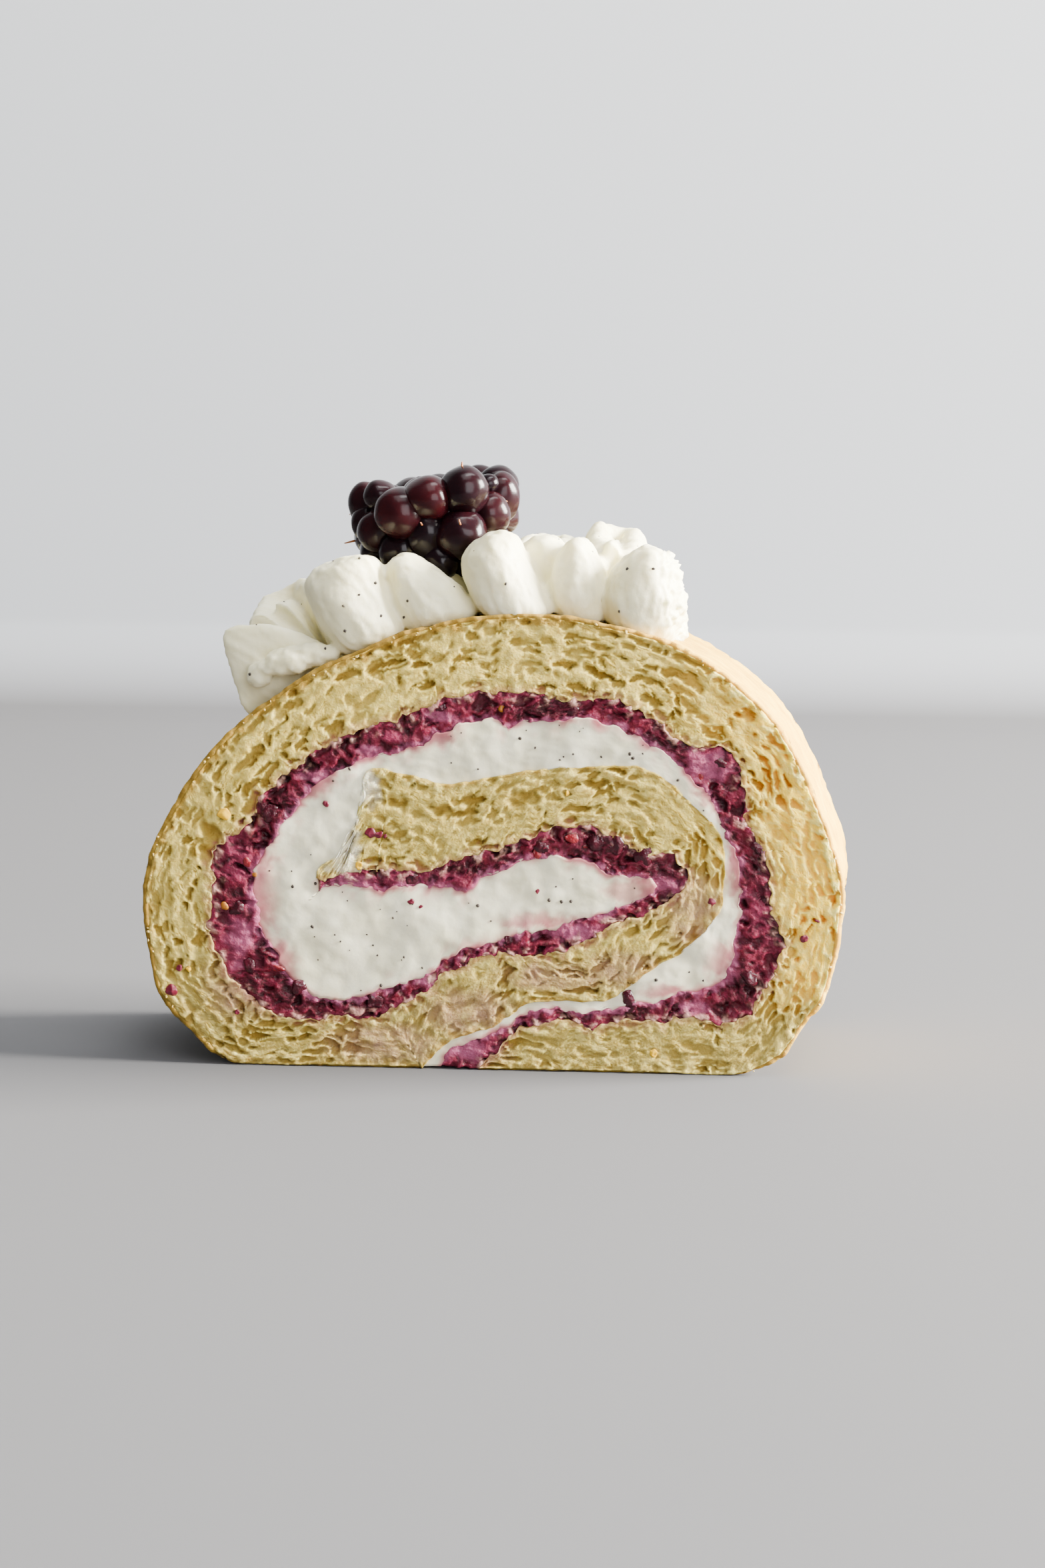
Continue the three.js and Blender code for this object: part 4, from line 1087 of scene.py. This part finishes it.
zest = [(-33.3, 31.6, 0.8), (19.7, 2.6, 0.5), (-16.6, 25.4, 0.5), (9, 34.8, 0.35), (-38, 12, 0.35)]
scatter("zestBits", [(placeInRow(x, -facePlane, z), r) for x, z, r in zest],
        smallThing("lemonZest", "#d89c00", "#ecc000", 0.6), 3, 0.15, True)
pips = [(-33.4, 20, 0.6), (.9, 45.2, 0.7), (-29.6, 24, 0.4)]
scatter("jamPips", [(onFace(jamTree, x, z), r) for x, z, r in pips],
        smallThing("berryPip", "#8a4c06", "#b47014", 0.5), 2, 0.5, True)
stray = [(-15.2, 29.5, 0.7), (-14.2, 29.3, 0.55), (-13.4, 29.1, 0.3), (-40.2, 9.3, 0.8), (26.7, 21.6, 0.5),
         (-39.2, 12.1, 0.4), (-32, 6.7, 0.35), (38, 17.3, 0.5), (39.6, 19.5, 0.35), (-20.7, 33, 0.45),
         (-10.2, 21, 0.45), (-9, 20.4, 0.3), (5.4, 22.6, 0.35)]
spots = [(placeInRow(x, -facePlane, z), r) for x, z, r in stray] + [(placeInRow(41.6, -12, 21), 0.5)]
scatter("strayJam", spots, smallThing("strayJam", "#3c0614", "#7a1430", 0.35), 3, 0.3, True)

crumbs = []
for _ in range(80):  # loose crumbs along the cut edge of the skin
    p = outerSmooth[rnd.randrange(len(outerSmooth))]
    behind = rnd.random() < 0.35
    if p.y > 0.6:
        inward = (Vector((0, 22)) - p).normalized() * rnd.uniform(0, 0.7)
        place = placeInRow(p.x + inward.x, 14.9 if behind else -14.95, p.y + inward.y)
        crumbs.append((place, rnd.uniform(0.08, 0.24)))
scatter("edgeCrumbs", crumbs, smallThing("looseCrumb", "#a88a44", "#d4bc70", 0.9), 2, 0.4)


# Stage, light and camera

stage = {
    "floor": "#4d4d4f", "wall": "#999da3", "wallTop": "#a0a4a9",
    "back": 0.28,  # metres behind the slice
    "soft": 0.02,
    "curveSteps": 12,
}


def stageSweep():
    # floor and wall in one sheet, joined by a small curve
    steps = [Vector((3, 0))]
    for k in range(stage["curveSteps"]):
        angle = math.pi / 2 * (k + 0.5) / stage["curveSteps"]
        steps.append(Vector((math.cos(angle), math.sin(angle))) * stage["soft"] / 8)
    steps.append(Vector((0, 3)))
    bm = bmesh.new()
    at = Vector((stage["back"] - 3, 0))
    rows = [[bm.verts.new((x, at.x, at.y)) for x in (-3, 3)]]
    for step in steps:
        at += step
        rows.append([bm.verts.new((x, at.x, at.y)) for x in (-3, 3)])
        bm.faces.new((*rows[-2], *reversed(rows[-1])))
    mesh = meshOf(bm, "stageSweep")
    mesh.shade_smooth()
    sweep = addObject("stageSweep", mesh)
    material, tree = newMaterial("stagePaper", {"Roughness": 0.9})
    height = addNode(tree, "ShaderNodeSeparateXYZ", inputs={0: tree.nodes["inMm"].outputs[0]}, out="Z")
    wall = toned(tree, stage["wall"], ((height, 17.0, 150.0, 0.0, 1.0), stage["wallTop"]))
    tone = toned(tree, stage["floor"], ((height, 2.0, 17.0, 0.0, 1.0), wall))
    shader = tree.nodes["Principled BSDF"]
    tree.links.new(tone, shader.inputs["Base Color"])
    # the wall is clear to a camera that stands behind it
    reverse = addNode(tree, "ShaderNodeNewGeometry", out="Backfacing")
    seen = addNode(tree, "ShaderNodeLightPath", out="Is Camera Ray")
    clear = addNode(tree, "ShaderNodeMath", {"operation": "MULTIPLY"}, {0: reverse, 1: seen}, out=0)
    through = addNode(tree, "ShaderNodeBsdfTransparent", out="BSDF")
    sides = addNode(tree, "ShaderNodeMixShader", inputs={0: clear, 1: shader.outputs["BSDF"], 2: through}, out=0)
    tree.links.new(sides, tree.nodes["Material Output"].inputs["Surface"])
    mesh.materials.append(material)


stageSweep()


def softLight(name, place, target, size, power, colour):
    data = bpy.data.lights.new(name, "AREA")
    data.shape = "RECTANGLE"
    data.size, data.size_y = size
    data.energy = power
    data.color = hexColour(colour)[:3]
    lamp = addObject(name, data)
    lamp.location = place
    lamp.rotation_euler = (Vector(target) - Vector(place)).to_track_quat("-Z", "Y").to_euler()


sliceMiddle = (0, 0, 0.03)
softLight("windowRight", (0.98, 0.03, 0.4), sliceMiddle, (0.5, 0.5), 190.0, "#fffaf2")
softLight("fillFront", (0.5, -0.85, 0.35), sliceMiddle, (0.6, 0.6), 10.0, "#fbfbff")
softLight("topSoft", (0.1, -0.3, 0.9), sliceMiddle, (0.6, 0.6), 6.0, "#ffffff")
softLight("wallWash", (0.6, -0.05, 1.9), (0.2, 0.6, 0.5), (1.2, 0.4), 30.0, "#ffffff")

world = bpy.data.worlds.new("pale")
world.use_nodes = True
world.node_tree.nodes["Background"].inputs["Color"].default_value = hexColour("#e6e8ec")
world.node_tree.nodes["Background"].inputs["Strength"].default_value = 0.3
bpy.context.scene.world = world

cameraPlace = Vector((47.58, -468.11, 108.45)) * mm
pitch, yaw = math.radians(9.06), math.radians(5.5)  # down, and to the left
lookAt = Vector((-math.sin(yaw) * math.cos(pitch), math.cos(yaw) * math.cos(pitch), -math.sin(pitch)))
cameraData = bpy.data.cameras.new("view")
cameraData.lens = 86.93  # on a 36 mm long side
cameraData.sensor_width = 36
cameraData.clip_start = 0.01
camera = addObject("view", cameraData)
camera.location = cameraPlace
camera.rotation_euler = lookAt.to_track_quat("-Z", "Y").to_euler()
bpy.context.scene.camera = camera
